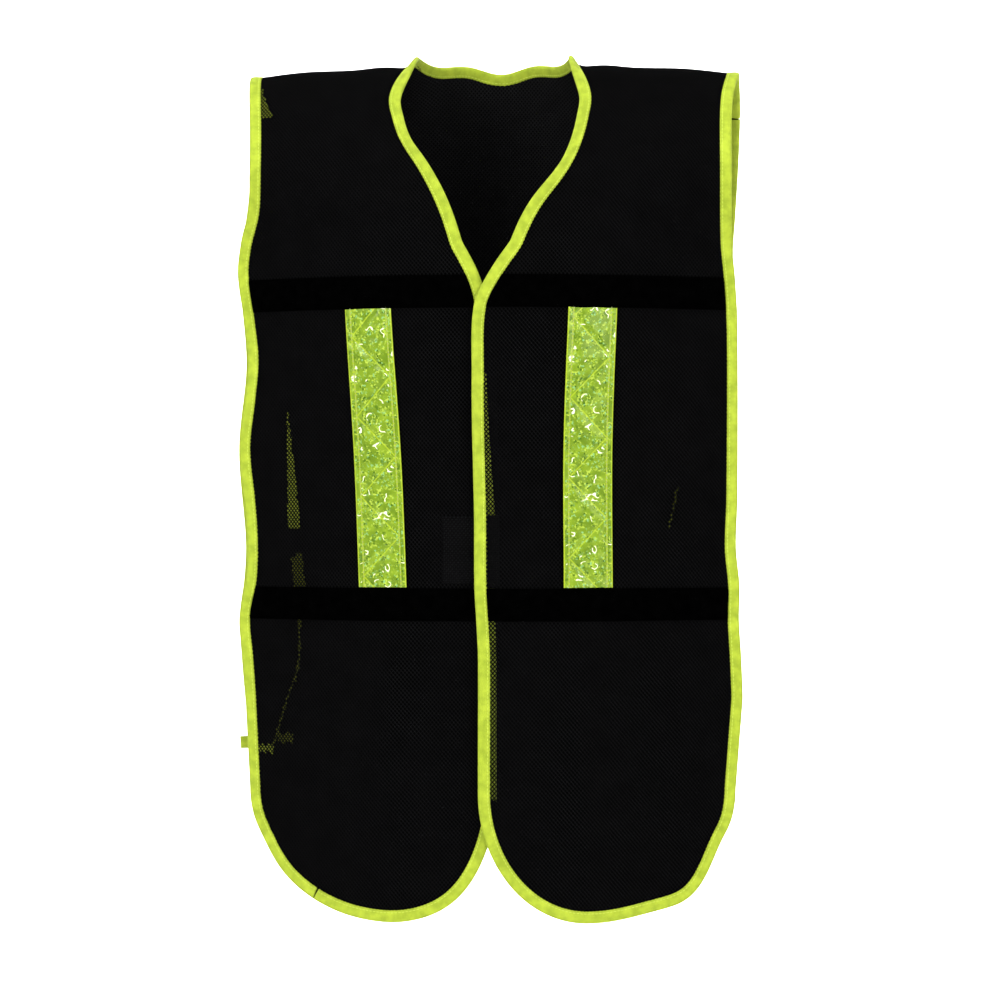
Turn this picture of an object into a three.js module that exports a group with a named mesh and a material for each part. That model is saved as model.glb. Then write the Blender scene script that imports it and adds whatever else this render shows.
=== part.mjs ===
// High-visibility mesh vest, held in the form it has when worn: two fronts and a back of thin mesh
// joined over the shoulders, open at both sides, with bands, upright strips and taped edges.
// Millimetres, +Z up, the front faces -Y, and +X is the wearer's left.
// The origin is midway between the shoulders, where the vest rests on its wearer.
import * as THREE from "three";

// Driving dimensions
const CLOTH = 1.0;
const TAPE_WALL = 1.0;
const SEW_GAP = 0.95;
const TAPE_WIDTH = 8.5;
const BAND_WALL = 1.0;
const STRIP_WALL = 1.2;
const STRIP_WIDTH = 39;
const RIBBON_WIDTH = 10;
const RIBBON_WALL = 1.0;
// Ring corner where a ribbon's far face starts; split like its near face, it keeps the wall even in a twist
const RIBBON_FAR_FACE = 2;
const END_GAP = 0.4;
const STRIP_GAP = 1.0;
const BAND_GAP = 1.6;
const TIE_GAP = 0.6;
const SHOULDER_HALF_WIDTH = 196.5;
const PROFILE = { halfWidth: 206, flatness: 2.4, fall: 1.4 };
const WINGS = { body: 0.3, shoulder: 0.72, bodyTop: -150, shoulderBase: -60 };
const OVERLAP = { lift: 2.8, full: 30, none: 90 };
const NECK_HALF_WIDTH = 62;
const NAPE = { depth: 75, roundness: 0.55 };
const NECK_RISE = { height: 178, halfWidth: 80, steepness: 3.2 };
const CHEST_HEIGHT = -230;
const RIDGE_HEIGHT = 6;
const SHOULDER_ARC = 276;
const HEM_BLEND_HEIGHT = -500;
const FRONT_HEM = { corner: -572, lowest: -673, lowestShare: 0.43 };
const BACK_HEM = { corner: -520, lowest: -612, roundness: 0.77 };
const BANDS = [
  { name: "chest_band", top: -165.5, bottom: -191 },
  { name: "waist_band", top: -411.5, bottom: -437 },
];
const STRIPS = [
  { name: "reflective_strip_right", side: -1, top: 92.5, middle: 85.5, bottom: 81.5 },
  { name: "reflective_strip_left", side: 1, top: 84, middle: 80, bottom: 80 },
];
const STRIP_SHARES = [-0.5, -0.25, 0, 0.25, 0.5];
// Patches on the inside: a blank label, and one half of a closure beside the left front's edge
const PATCH_WALL = 1.0;
const PATCHES = [
  { name: "inside_label", cut: "front_right", left: -34, right: -9.5, top: -355, bottom: -409 },
  { name: "closure_patch", cut: "front_left", left: 2.2, right: 17, top: -354, bottom: -410 },
];

// The top of the shoulder, from the side of the neck out to the armhole
const RIDGE = [
  { x: NECK_HALF_WIDTH, z: 6 },
  { x: 88, z: 8.2 },
  { x: 115, z: 6 },
  { x: 155, z: 4.7 },
  { x: 200, z: -0.5 },
];

// How far the cloth stands in front of and behind the shoulder line at each height
const DEPTHS = [
  { z: -690, front: 86, back: 88 },
  { z: -560, front: 88, back: 84 },
  { z: -400, front: 84, back: 68 },
  { z: CHEST_HEIGHT, front: 95, back: 92 },
];

// The V neck and front edges: how far each front stops short of the middle, or laps past it
const FRONT_EDGE = [
  { z: -690, right: -7.7, left: -4 },
  { z: -470, right: -7.2, left: -4 },
  { z: -440, right: -6.5, left: -5.3 },
  { z: -410, right: -5.5, left: -7 },
  { z: -354, right: -6, left: -7.1 },
  { z: -320, right: -3.8, left: -7.6 },
  { z: -279, right: -1.4, left: -8.3 },
  { z: -244, right: -0.2, left: -8.2 },
  { z: -190, right: -0.5, left: -6.5 },
  { z: -165, right: 6, left: 4.8 },
  { z: -135, right: 22, left: 25.4 },
  { z: -105, right: 40, left: 47 },
  { z: -82, right: 52, left: 59.5 },
  { z: -60, right: 62.5, left: 67.3 },
  { z: -40, right: 69, left: 71.5 },
  { z: -22, right: 72.3, left: 72.8 },
  { z: RIDGE_HEIGHT, right: NECK_HALF_WIDTH, left: NECK_HALF_WIDTH },
];

// Rows of [height, how far the side edge lies from the middle]
const SIDE_EDGES = {
  front_right: [
    [-572, 193], [-515, 196], [-470, 199.5], [-437, 202.5], [-405, 196.5], [-375, 195.5], [-345, 197.5],
    [-300, 202], [-260, 197], [-230, 194], [-200, 197.5], [-160, 203.5], [-135, 200.5], [-108, 192.5],
    [-80, 190.5], [-50, 191], [-20, 193.5], [RIDGE_HEIGHT, SHOULDER_HALF_WIDTH],
  ],
  front_left: [
    [-572, 194], [-545, 198], [-510, 199.7], [-470, 198.5], [-437, 196.6], [-410, 197], [-380, 194.2],
    [-340, 195.4], [-200, 195.3], [-165, 193.4], [-140, 191.2], [-80, 191.3], [-20, 191.5],
    [RIDGE_HEIGHT, SHOULDER_HALF_WIDTH],
  ],
  back_right: [
    [-520, 204], [-470, 208], [-437, 209.5], [-405, 205.5], [-375, 204.5], [-300, 210.5], [-230, 205],
    [-150, 211], [-110, 207], [-60, 204], [-20, 198], [RIDGE_HEIGHT, SHOULDER_HALF_WIDTH],
  ],
  back_left: [
    [-520, 196], [-470, 195], [-420, 193.3], [-380, 192], [-165, 191.7], [-140, 191], [-110, 192.8],
    [-80, 194.5], [-50, 196], [-20, 197], [RIDGE_HEIGHT, SHOULDER_HALF_WIDTH],
  ],
};

// Waves of a front's hem: rows of [share across, how far it drops, over what share]
const HEM_WAVES = {
  front_right: [[0.22, 5, 0.13], [0.84, -4, 0.07]],
  front_left: [[0.71, 9.5, 0.1], [0.83, -5.5, 0.06]],
};

// Soft folds, each a ridge (or a dent, where it rises below zero) along a line
const FOLDS = [
  { cut: "front_right", x: -93, z: -60, toX: -93, toZ: -135, width: 18, rise: 4 },
  { cut: "front_right", x: -170, z: -124, toX: -115, toZ: -118, width: 15, rise: -4 },
  { cut: "front_right", x: -78, z: -450, toX: -84, toZ: -545, width: 24, rise: 6 },
  { cut: "front_right", x: -88, z: -560, toX: -112, toZ: -615, width: 26, rise: 5 },
  { cut: "front_left", x: 120, z: -126, toX: 168, toZ: -130, width: 15, rise: -4 },
  { cut: "front_left", x: 112, z: -85, toX: 112, toZ: -140, width: 16, rise: 4 },
  { cut: "front_left", x: 106, z: -450, toX: 122, toZ: -560, width: 24, rise: 7 },
  { cut: "front_left", x: 128, z: -570, toX: 138, toZ: -592, width: 26, rise: 4 },
  { cut: "front_left", x: 184, z: -215, toX: 146, toZ: -365, width: 22, rise: 4 },
  { cut: "back", x: -75, z: -330, toX: -95, toZ: -600, width: 32, rise: 6 },
  { cut: "back", x: 75, z: -330, toX: 90, toZ: -600, width: 32, rise: 6 },
];

// Routes of the ribbon ties from the taped back edge to the free end: rows of x, y, z and the degrees by
// which the ribbon is turned about its line
const TIES = [
  {
    name: "side_tie_right",
    sewn: { x: -201.6, z: -205 },
    route: [
      [-199, 20.5, -228, 30],
      [-194, 21, -243, 75],
      [-184, 26, -256, 95],
      [-175, 30, -268, 97],
      [-169, 29, -285, 90],
      [-166.5, 22, -310, 60],
      [-165.5, 14, -340, 25],
      [-165, 11, -361, 0],
      [-164, 14, -375, 85],
      [-160.5, 20, -395, 62],
      [-158.5, 21, -425, 90],
      [-158, 17, -465, 98],
      [-161, 11, -497, 98],
      [-170, 6, -523, 98],
      [-184, 2, -537, 60],
      [-207, 0, -539, 0],
    ],
  },
  {
    name: "side_tie_left",
    sewn: { x: 186.8, z: -262 },
    route: [
      [185.5, 21.5, -290, 40],
      [179, 21.5, -304, 80],
      [167, 21, -317, 92],
      [154, 20.3, -331, 92],
      [146, 19.6, -348, 80],
      [142, 19, -366, 75],
    ],
  },
];

// Grid of a cut: a front's columns as shares from its front edge, the back's shoulder columns as shares
// from armhole to neck, body rows that include the band edges, and rows over the shoulder
const FRONT_COLUMNS = [0, 0.057, 0.11, 0.2, 0.32, 0.43, 0.53, 0.63, 0.75, 0.87, 0.95, 1];
const SHOULDER_COLUMNS = [0, 0.08, 0.25, 0.5, 0.8, 0.96, 1];
const NECK_COLUMNS = 12;
const NECK_CROWDING = 1.55;
const HEM_ROWS = 3;
const BODY_ROWS = [HEM_BLEND_HEIGHT, -468, -437, -411.5, -380, -330, -280, -230, -191, -165.5, -140];
const SHOULDER_ROWS = [0.11, 0.22, 0.33, 0.44, 0.55, 0.65, 0.74, 0.815, 0.87, 0.915, 0.957, 1];
const RIBBON_STEPS = 2;
const SEAM_ANGLE = 89.6;

// Where the tape's lengths meet, counted in columns of the right hem and rows of the back armhole, and
// the share of a step that they stop short of each other
const HEM_JOIN = 4;
const ARMHOLE_JOIN = 7;
const JOIN_SHARE = 0.03;

const HALF_CLOTH = CLOTH / 2;
const SEWN_AT = HALF_CLOTH + SEW_GAP;

const cloth = new THREE.MeshStandardMaterial({ color: 0x101012, roughness: 0.85 });
const bandCloth = new THREE.MeshStandardMaterial({ color: 0x050506, roughness: 0.7 });
const limeTape = new THREE.MeshStandardMaterial({ color: 0xc9ee2e, roughness: 0.75 });
const limePvc = new THREE.MeshStandardMaterial({ color: 0x9fd41c, roughness: 0.15 });
const labelCloth = new THREE.MeshStandardMaterial({ color: 0x26262a, roughness: 0.6 });

const mix = (a, b, share) => a + (b - a) * share;

function ease(from, to, at) {
  const share = THREE.MathUtils.clamp((at - from) / (to - from), 0, 1);
  return share * share * (3 - 2 * share);
}

// A smooth curve through a table's rows: the column `of` against the rising column `by`.
function through(table, by, of, at) {
  const last = table.length - 1;
  const end = at <= table[0][by] ? table[0] : at >= table[last][by] ? table[last] : null;
  if (end) return end[of];
  const k = table.findIndex((row) => row[by] > at) - 1;
  const slope = (i) => {
    const a = table[Math.max(i - 1, 0)];
    const b = table[Math.min(i + 1, last)];
    return (b[of] - a[of]) / (b[by] - a[by]);
  };
  const [a, b] = [table[k], table[k + 1]];
  const step = b[by] - a[by];
  const t = (at - a[by]) / step;
  const held = (2 * t ** 3 - 3 * t ** 2 + 1) * a[of] + (3 * t ** 2 - 2 * t ** 3) * b[of];
  return held + step * ((t ** 3 - 2 * t ** 2 + t) * slope(k) + (t ** 3 - t ** 2) * slope(k + 1));
}

// A height on the cloth is its Z for the body, and over the shoulder it is followed by an arc length:
// level counts millimetres of cloth above the chest line.
function levelAt(height) {
  if (height < CHEST_HEIGHT) return height - CHEST_HEIGHT;
  const share = Math.min(1, (height - CHEST_HEIGHT) / (RIDGE_HEIGHT - CHEST_HEIGHT));
  return (Math.asin(share) * 2 * SHOULDER_ARC) / Math.PI;
}

function rollAngle(level) {
  return (Math.max(0, level) * Math.PI) / 2 / SHOULDER_ARC;
}

function heightAt(level) {
  if (level < 0) return level + CHEST_HEIGHT;
  return CHEST_HEIGHT + (RIDGE_HEIGHT - CHEST_HEIGHT) * Math.sin(rollAngle(level));
}

const TOP_LEVEL = (SEAM_ANGLE / 90) * SHOULDER_ARC;

// The level at which the cloth reaches a true height Z
function levelFor(x, z) {
  if (z < CHEST_HEIGHT) return z - CHEST_HEIGHT;
  return (Math.asin((z - CHEST_HEIGHT) / (ridgeAt(x) - CHEST_HEIGHT)) * 2 * SHOULDER_ARC) / Math.PI;
}

// Share of the full depth at a distance from the middle: a bell that falls to flat wings at the sides.
function bell(x, height) {
  const share = Math.min(1, Math.abs(x) / PROFILE.halfWidth);
  const wings = mix(WINGS.body, WINGS.shoulder, ease(WINGS.bodyTop, WINGS.shoulderBase, height));
  return wings + (1 - wings) * (1 - share ** PROFILE.flatness) ** PROFILE.fall;
}

function foldRise(cut, x, height) {
  let rise = 0;
  for (const fold of FOLDS) {
    if (fold.cut !== cut) continue;
    const along = new THREE.Vector2(fold.toX - fold.x, fold.toZ - fold.z);
    const from = new THREE.Vector2(x - fold.x, height - fold.z);
    const share = THREE.MathUtils.clamp(from.dot(along) / along.lengthSq(), 0, 1);
    const away = from.addScaledVector(along, -share).length();
    rise += fold.rise * Math.exp(-((away / fold.width) ** 2));
  }
  return rise;
}

// The height that the roll over the shoulder tops out at. Towards the neck it would go on up, so the
// cloth there is cut off on its way and leans on the neck.
function ridgeAt(x) {
  const share = Math.min(1, Math.abs(x) / NECK_RISE.halfWidth);
  return through(RIDGE, "x", "z", Math.abs(x)) + NECK_RISE.height * (1 - share ** 2) ** NECK_RISE.steepness;
}

// Angle of the roll at which the back neck is cut, from the shoulder line down to the nape
function neckAngle(x) {
  const share = Math.min(1, Math.abs(x) / NECK_HALF_WIDTH);
  return Math.acos((NAPE.depth / DEPTHS.at(-1).back) * (1 - share ** 2) ** NAPE.roundness);
}

const lapLift = (fromMiddle) => OVERLAP.lift * (1 - ease(OVERLAP.full, OVERLAP.none, fromMiddle));

// Each cut: which way it faces, and how far it is lifted where the fronts lap
const CUTS = {
  front_right: { facing: -1, depth: "front", lift: (x) => -lapLift(-x) },
  front_left: { facing: -1, depth: "front", lift: (x) => lapLift(x) },
  back: { facing: 1, depth: "back", lift: () => 0 },
};

function onCut(cut, x, level) {
  const { facing, depth, lift } = CUTS[cut];
  const height = heightAt(level);
  const angle = rollAngle(level);
  const reach = through(DEPTHS, "z", depth, height) * bell(x, height);
  const out = (reach + foldRise(cut, x, height) + lift(x)) * Math.cos(angle);
  const z = level < 0 ? height : CHEST_HEIGHT + (ridgeAt(x) - CHEST_HEIGHT) * Math.sin(angle);
  return new THREE.Vector3(x, facing * out, z);
}

// How the point of a cut moves for one millimetre of x and of level
function slopesOf(cut, x, level) {
  return [
    onCut(cut, x + 0.5, level).sub(onCut(cut, x - 0.5, level)),
    onCut(cut, x, level + 0.5).sub(onCut(cut, x, level - 0.5)),
  ];
}

function normalOf(cut, x, level) {
  const [perX, perLevel] = slopesOf(cut, x, level);
  return perX.cross(perLevel).multiplyScalar(-CUTS[cut].facing).normalize();
}

function above(cut, [x, level], offset) {
  return onCut(cut, x, level).addScaledVector(normalOf(cut, x, level), offset);
}

// Outlines, as [x, level] on a cut
function sideEdge(edge, height) {
  return through(SIDE_EDGES[edge], 0, 1, height);
}

const wearerSide = (side) => (side < 0 ? "front_right" : "front_left");

function frontX(side, share, height) {
  const inner = through(FRONT_EDGE, "z", side < 0 ? "right" : "left", height);
  return side * mix(inner, sideEdge(wearerSide(side), height), share);
}

function frontAt(side, share, z) {
  const x = frontX(side, share, z);
  return [x, levelFor(x, z)];
}

function hemDrop(side, share) {
  const waves = HEM_WAVES[wearerSide(side)];
  const dropOf = ([at, depth, reach]) => depth * Math.exp(-(((share - at) / reach) ** 2));
  return waves.reduce((drop, wave) => drop + dropOf(wave), 0);
}

function frontHem(side, share) {
  const { corner, lowest, lowestShare } = FRONT_HEM;
  const low = frontX(side, lowestShare, corner);
  const nearEdge = share < lowestShare;
  const toEdge = nearEdge ? share / lowestShare : (1 - share) / (1 - lowestShare);
  const end = frontX(side, nearEdge ? 0 : 1, corner);
  const turn = (toEdge * Math.PI) / 2;
  const z = corner + (lowest - corner) * Math.sin(turn) - hemDrop(side, share);
  return [low + (end - low) * Math.cos(turn), levelAt(z)];
}

function frontShoulder(side, share, rise) {
  const level = mix(levelAt(BODY_ROWS.at(-1)), TOP_LEVEL, rise);
  const x = frontX(side, share, heightAt(level));
  return [x, mix(levelFor(x, BODY_ROWS.at(-1)), TOP_LEVEL, rise)];
}

const backX = (share, height) => share * sideEdge(share < 0 ? "back_right" : "back_left", height);

function backAt(share, z) {
  const x = backX(share, z);
  return [x, levelFor(x, z)];
}

function backHem(share) {
  const { corner, lowest, roundness } = BACK_HEM;
  const turn = (share * Math.PI) / 2;
  const x = backX(Math.sign(share), corner) * Math.abs(Math.sin(turn)) ** roundness;
  return [x, levelAt(corner + (lowest - corner) * Math.abs(Math.cos(turn)) ** roundness)];
}

function backShoulder(share, rise) {
  const topX = backX(share, RIDGE_HEIGHT);
  const top = Math.min(TOP_LEVEL, (neckAngle(topX) * 2 * SHOULDER_ARC) / Math.PI);
  const x = backX(share, heightAt(mix(levelAt(BODY_ROWS.at(-1)), TOP_LEVEL, rise)));
  return [x, mix(levelFor(x, BODY_ROWS.at(-1)), top, rise)];
}

const steps = (count) => Array.from({ length: count + 1 }, (_, i) => i / count);

// Back columns: over each shoulder from the armhole in, and round the neck closer at its corners
const neckShare = NECK_HALF_WIDTH / SHOULDER_HALF_WIDTH;
const shoulderShares = SHOULDER_COLUMNS.map((t) => mix(1, neckShare, t));
function neckTurn(t) {
  const fromCorner = 2 * Math.min(t, 1 - t);
  return Math.sign(t - 0.5) * (1 - fromCorner ** NECK_CROWDING);
}
const neckShares = steps(NECK_COLUMNS)
  .slice(1, -1)
  .map((t) => neckShare * Math.sin((neckTurn(t) * Math.PI) / 2));
const backShares = [
  ...shoulderShares.map((share) => -share),
  ...neckShares,
  ...shoulderShares.slice().reverse(),
];

// The grid of a cut, rows of [x, level] from the hem up to the shoulder seam
function grid(shares, hemAt, bodyAt, shoulderAt) {
  const body = BODY_ROWS.map((z) => shares.map((share) => bodyAt(share, z)));
  const shoulder = SHOULDER_ROWS.map((rise) => shares.map((share) => shoulderAt(share, rise)));
  const hem = shares.map(hemAt);
  const blend = steps(HEM_ROWS)
    .slice(0, -1)
    .map((t) => hem.map((at, i) => [mix(at[0], body[0][i][0], t), mix(at[1], body[0][i][1], t)]));
  return [...blend, ...body, ...shoulder];
}

function frontGrid(side) {
  return grid(
    FRONT_COLUMNS,
    (share) => frontHem(side, share),
    (share, z) => frontAt(side, share, z),
    (share, rise) => frontShoulder(side, share, rise),
  );
}

function solid(points, index) {
  const geometry = new THREE.BufferGeometry();
  geometry.setAttribute("position", new THREE.Float32BufferAttribute(points.flatMap((p) => p.toArray()), 3));
  geometry.setIndex(index);
  turnOutward(geometry);
  geometry.computeVertexNormals();
  return geometry;
}

function turnOutward(geometry) {
  const position = geometry.getAttribute("position");
  const index = geometry.getIndex().array;
  const corner = [0, 1, 2].map(() => new THREE.Vector3());
  let volume = 0;
  for (let i = 0; i < index.length; i += 3) {
    corner.forEach((p, k) => p.fromBufferAttribute(position, index[i + k]));
    volume += corner[0].dot(corner[1].cross(corner[2]));
  }
  if (volume > 0) return;
  for (let i = 0; i < index.length; i += 3) index.subarray(i, i + 3).reverse();
}

// A closed solid swept through rings of corners, with the given quads as its end caps. Faces from the corner
// farFace on are split along their other diagonal.
function sweep(rings, capQuads, farFace = Infinity) {
  const count = rings[0].length;
  const last = (rings.length - 1) * count;
  const index = [];
  for (let i = 0; i + 1 < rings.length; i++) {
    for (let j = 0; j < count; j++) {
      const k = (j + 1) % count;
      const [a, b, c, d] = [i * count + j, i * count + k, (i + 1) * count + k, (i + 1) * count + j];
      index.push(...(j < farFace ? [a, b, c, a, c, d] : [a, b, d, b, c, d]));
    }
  }
  for (const [a, b, c, d] of capQuads) {
    index.push(a, c, b, a, d, c);
    index.push(last + a, last + b, last + c, last + a, last + c, last + d);
  }
  return solid(rings.flat(), index);
}

// A sheet of cloth between two offsets from a cut, over rows of [x, level]
function sheet(cut, rows, from, to) {
  const wide = rows[0].length;
  const layer = rows.length * wide;
  const points = [to, from].flatMap((offset) => rows.flat().map((at) => above(cut, at, offset)));
  const index = [];
  for (let i = 0; i + 1 < rows.length; i++) {
    for (let j = 0; j + 1 < wide; j++) {
      const [a, b, c, d] = [i * wide + j, i * wide + j + 1, (i + 1) * wide + j + 1, (i + 1) * wide + j];
      index.push(a, b, c, a, c, d);
      index.push(...[c, b, a, d, c, a].map((k) => k + layer));
    }
  }
  const rim = [
    ...rows[0].map((_, j) => j),
    ...rows.slice(1).map((_, i) => (i + 2) * wide - 1),
    ...rows[0].slice(1).map((_, j) => layer - 2 - j),
    ...rows.slice(1, -1).map((_, i) => (rows.length - 2 - i) * wide),
  ];
  rim.forEach((a, i) => {
    const b = rim[(i + 1) % rim.length];
    index.push(b, a, a + layer, b, a + layer, b + layer);
  });
  return solid(points, index);
}

// A band of cloth across a cut between the tapes, at those of the cut's columns that are clear of them
function band(cut, at, shares, { top, bottom }) {
  const clear = TAPE_WIDTH + BAND_GAP;
  const rows = [bottom, top].map((z) => {
    const [from] = at(shares[0], z);
    const [to] = at(shares.at(-1), z);
    const toward = Math.sign(to - from);
    const lean = (at(shares[0], z + 1)[0] - at(shares[0], z - 1)[0]) / 2;
    const ends = [from + toward * clear * Math.hypot(1, lean), to - toward * clear];
    const [first, last] = ends.map((x) => [x, levelFor(x, z)]);
    return [first, ...shares.slice(2, -2).map((share) => at(share, z)), last];
  });
  return sheet(cut, rows, SEWN_AT, SEWN_AT + BAND_WALL);
}

function strip({ side, top, middle, bottom }) {
  const from = BANDS[1].top + STRIP_GAP;
  const to = BANDS[0].bottom - STRIP_GAP;
  const line = [
    { z: from, x: bottom },
    { z: (from + to) / 2, x: middle },
    { z: to, x: top },
  ];
  const heights = [from, ...BODY_ROWS.filter((z) => z > from && z < to), to];
  const cut = wearerSide(side);
  const rows = heights.map((z) =>
    STRIP_SHARES.map((share) => {
      const x = side * through(line, "z", "x", z);
      const level = levelFor(x, z);
      const stretch = onCut(cut, x + 1, level).distanceTo(onCut(cut, x, level));
      return [x + (share * STRIP_WIDTH) / stretch, level];
    }),
  );
  return sheet(cut, rows, SEWN_AT, SEWN_AT + STRIP_WALL);
}

function patch({ cut, left, right, top, bottom }) {
  const heights = [bottom, mix(bottom, top, 0.5), top];
  const rows = heights.map((z) => [left, mix(left, right, 0.5), right].map((x) => [x, levelAt(z)]));
  return sheet(cut, rows, -SEWN_AT - PATCH_WALL, -SEWN_AT);
}

// Edge tape: a U over the cloth edge, swept along stations of { cut, at, within }. Each ring goes from
// the inner edge of the outside flap round the fold to the inside flap, and back along the cloth.
function tape(stations) {
  const reach = SEWN_AT + TAPE_WALL;
  const rings = stations.map(({ cut, at, within }) => {
    const edge = onCut(cut, ...at);
    const outward = edge.clone().sub(onCut(cut, ...within)).normalize();
    const fold = (past, offset) => above(cut, at, offset).addScaledVector(outward, past);
    const flap = (offset) => above(cut, within, offset);
    return [
      flap(reach),
      fold(END_GAP + TAPE_WALL, reach),
      fold(END_GAP + TAPE_WALL, -reach),
      flap(-reach),
      flap(-SEWN_AT),
      fold(END_GAP, -SEWN_AT),
      fold(END_GAP, SEWN_AT),
      flap(SEWN_AT),
    ];
  });
  const walls = [
    [0, 1, 6, 7],
    [1, 2, 5, 6],
    [2, 3, 4, 5],
  ];
  return sweep(rings, walls);
}

// The point of the cloth one tape width in from an edge, square to the edge's 3-D direction
function tapeWidthIn(cut, [x, level], along) {
  const [perX, perLevel] = slopesOf(cut, x, level);
  const square = normalOf(cut, x, level).cross(along).setLength(TAPE_WIDTH);
  const [xx, xl, ll] = [perX.dot(perX), perX.dot(perLevel), perLevel.dot(perLevel)];
  const [bx, bl] = [perX.dot(square), perLevel.dot(square)];
  const area = xx * ll - xl * xl;
  return [x + (bx * ll - bl * xl) / area, level + (bl * xx - bx * xl) / area];
}

// Stations along a run of [x, level] that, seen from outside, keeps the cloth on its left
function run(cut, points) {
  return points.map((at, i) => {
    const before = points[Math.max(i - 1, 0)];
    const after = points[Math.min(i + 1, points.length - 1)];
    const along = onCut(cut, ...after).sub(onCut(cut, ...before)).normalize();
    return { cut, at, within: tapeWidthIn(cut, at, along) };
  });
}

// A run cut in two at one of its points, with ends that stop just short of each other
function runInTwo(cut, points, join) {
  const stations = run(cut, points);
  const [end, next] = stations.slice(join, join + 2);
  const step = (from, to) => from.map((value, k) => mix(value, to[k], JOIN_SHARE));
  const start = { cut, at: step(end.at, next.at), within: step(end.within, next.within) };
  return [stations.slice(0, join + 1), [start, ...stations.slice(join + 1)]];
}

// A ribbon from the inside of the taped back edge along its route, turning about its line
function ribbon({ sewn, route }) {
  const level = levelFor(sewn.x, sewn.z);
  const under = -(SEWN_AT + TAPE_WALL + TIE_GAP + RIBBON_WALL / 2);
  const sewnPoints = [0, TAPE_WIDTH].map((down) => above("back", [sewn.x, level - down], under));
  const path = new THREE.CatmullRomCurve3([...sewnPoints, ...route.map((p) => new THREE.Vector3(...p))]);
  const turns = [0, 0, ...route.map((p) => p[3])].map((degrees, at) => ({ at, degrees }));
  const points = path.getPoints(RIBBON_STEPS * (turns.length - 1));
  const facing = normalOf("back", sewn.x, level);
  const rings = points.map((p, i) => {
    const along = path.getTangent(i / (points.length - 1));
    const turn = THREE.MathUtils.degToRad(through(turns, "at", "degrees", i / RIBBON_STEPS));
    const wide = along.clone().cross(facing).setLength(RIBBON_WIDTH / 2).applyAxisAngle(along, turn);
    const thick = wide.clone().cross(along).setLength(RIBBON_WALL / 2);
    return [
      p.clone().sub(wide).sub(thick),
      p.clone().add(wide).sub(thick),
      p.clone().add(wide).add(thick),
      p.clone().sub(wide).add(thick),
    ];
  });
  return sweep(rings, [[0, 1, 2, 3]], RIBBON_FAR_FACE);
}

const vest = new THREE.Group();

function add(name, geometry, material) {
  const mesh = new THREE.Mesh(geometry, material);
  mesh.name = name;
  vest.add(mesh);
}

const rowsOf = {
  front_right: frontGrid(-1),
  front_left: frontGrid(1),
  back: grid(backShares, backHem, backAt, backShoulder),
};
for (const [cut, rows] of Object.entries(rowsOf)) {
  add(`${cut}_mesh`, sheet(cut, rows, -HALF_CLOTH, HALF_CLOTH), cloth);
}

for (const row of BANDS) {
  for (const side of [-1, 1]) {
    const cut = wearerSide(side);
    const name = cut.replace("front", row.name);
    add(name, band(cut, (share, z) => frontAt(side, share, z), FRONT_COLUMNS, row), bandCloth);
  }
  add(`${row.name}_back`, band("back", backAt, backShares, row), bandCloth);
}

for (const row of STRIPS) add(row.name, strip(row), limePvc);
for (const row of TIES) add(row.name, ribbon(row), limeTape);
for (const row of PATCHES) add(row.name, patch(row), labelCloth);

// The tape goes once round the outline, in two lengths that meet on the right hem and at the left
// back armhole.
const { front_right: right, front_left: left, back } = rowsOf;
const frontEdge = (rows) => rows.map((row) => row[0]);
const sideOf = (rows) => rows.map((row) => row.at(-1));
const [hemStart, hemEnd] = runInTwo("front_right", right[0].slice().reverse(), HEM_JOIN);
const [armholeStart, armholeEnd] = runInTwo("back", sideOf(back).reverse(), ARMHOLE_JOIN);
const neckline = back.at(-1).slice(shoulderShares.length - 1, 1 - shoulderShares.length);
const frontTape = [
  ...hemEnd,
  ...run("front_right", frontEdge(right)).slice(1),
  ...run("back", neckline),
  ...run("front_left", frontEdge(left).reverse()),
  ...run("front_left", left[0]).slice(1),
  ...run("front_left", sideOf(left)).slice(1),
  ...armholeStart.slice(1),
];
const backTape = [
  ...armholeEnd,
  ...run("back", back[0].slice().reverse()).slice(1),
  ...run("back", frontEdge(back)).slice(1),
  ...run("front_right", sideOf(right).reverse()).slice(1),
  ...hemStart.slice(1),
];
add("binding_front", tape(frontTape), limeTape);
add("binding_back", tape(backTape), limeTape);

export default vest;
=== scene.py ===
"""Looks of the high-visibility mesh vest, in the frame of its CAD model.

The cloth follows the same surface as the CAD part: a cut is addressed by x and by level. Below the chest line
a level is a height from that line; above it, it counts the roll over the shoulder. Surface sums are in
millimetres, meshes in metres.
"""
from functools import partial
import math

import bpy
import numpy as np
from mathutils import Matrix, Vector


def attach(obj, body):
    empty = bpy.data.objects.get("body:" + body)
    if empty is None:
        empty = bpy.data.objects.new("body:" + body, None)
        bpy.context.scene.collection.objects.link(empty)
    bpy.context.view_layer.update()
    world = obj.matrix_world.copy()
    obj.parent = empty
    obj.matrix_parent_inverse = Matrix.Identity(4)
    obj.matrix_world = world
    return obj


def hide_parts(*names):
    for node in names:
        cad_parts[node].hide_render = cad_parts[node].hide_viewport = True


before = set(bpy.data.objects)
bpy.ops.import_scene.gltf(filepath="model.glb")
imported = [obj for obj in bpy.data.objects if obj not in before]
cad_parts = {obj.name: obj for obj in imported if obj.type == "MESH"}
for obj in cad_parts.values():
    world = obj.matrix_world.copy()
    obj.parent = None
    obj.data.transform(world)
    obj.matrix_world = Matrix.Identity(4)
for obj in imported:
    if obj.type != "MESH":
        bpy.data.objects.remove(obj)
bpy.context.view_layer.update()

MM = 0.001
UV_NAME = "cloth"

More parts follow.
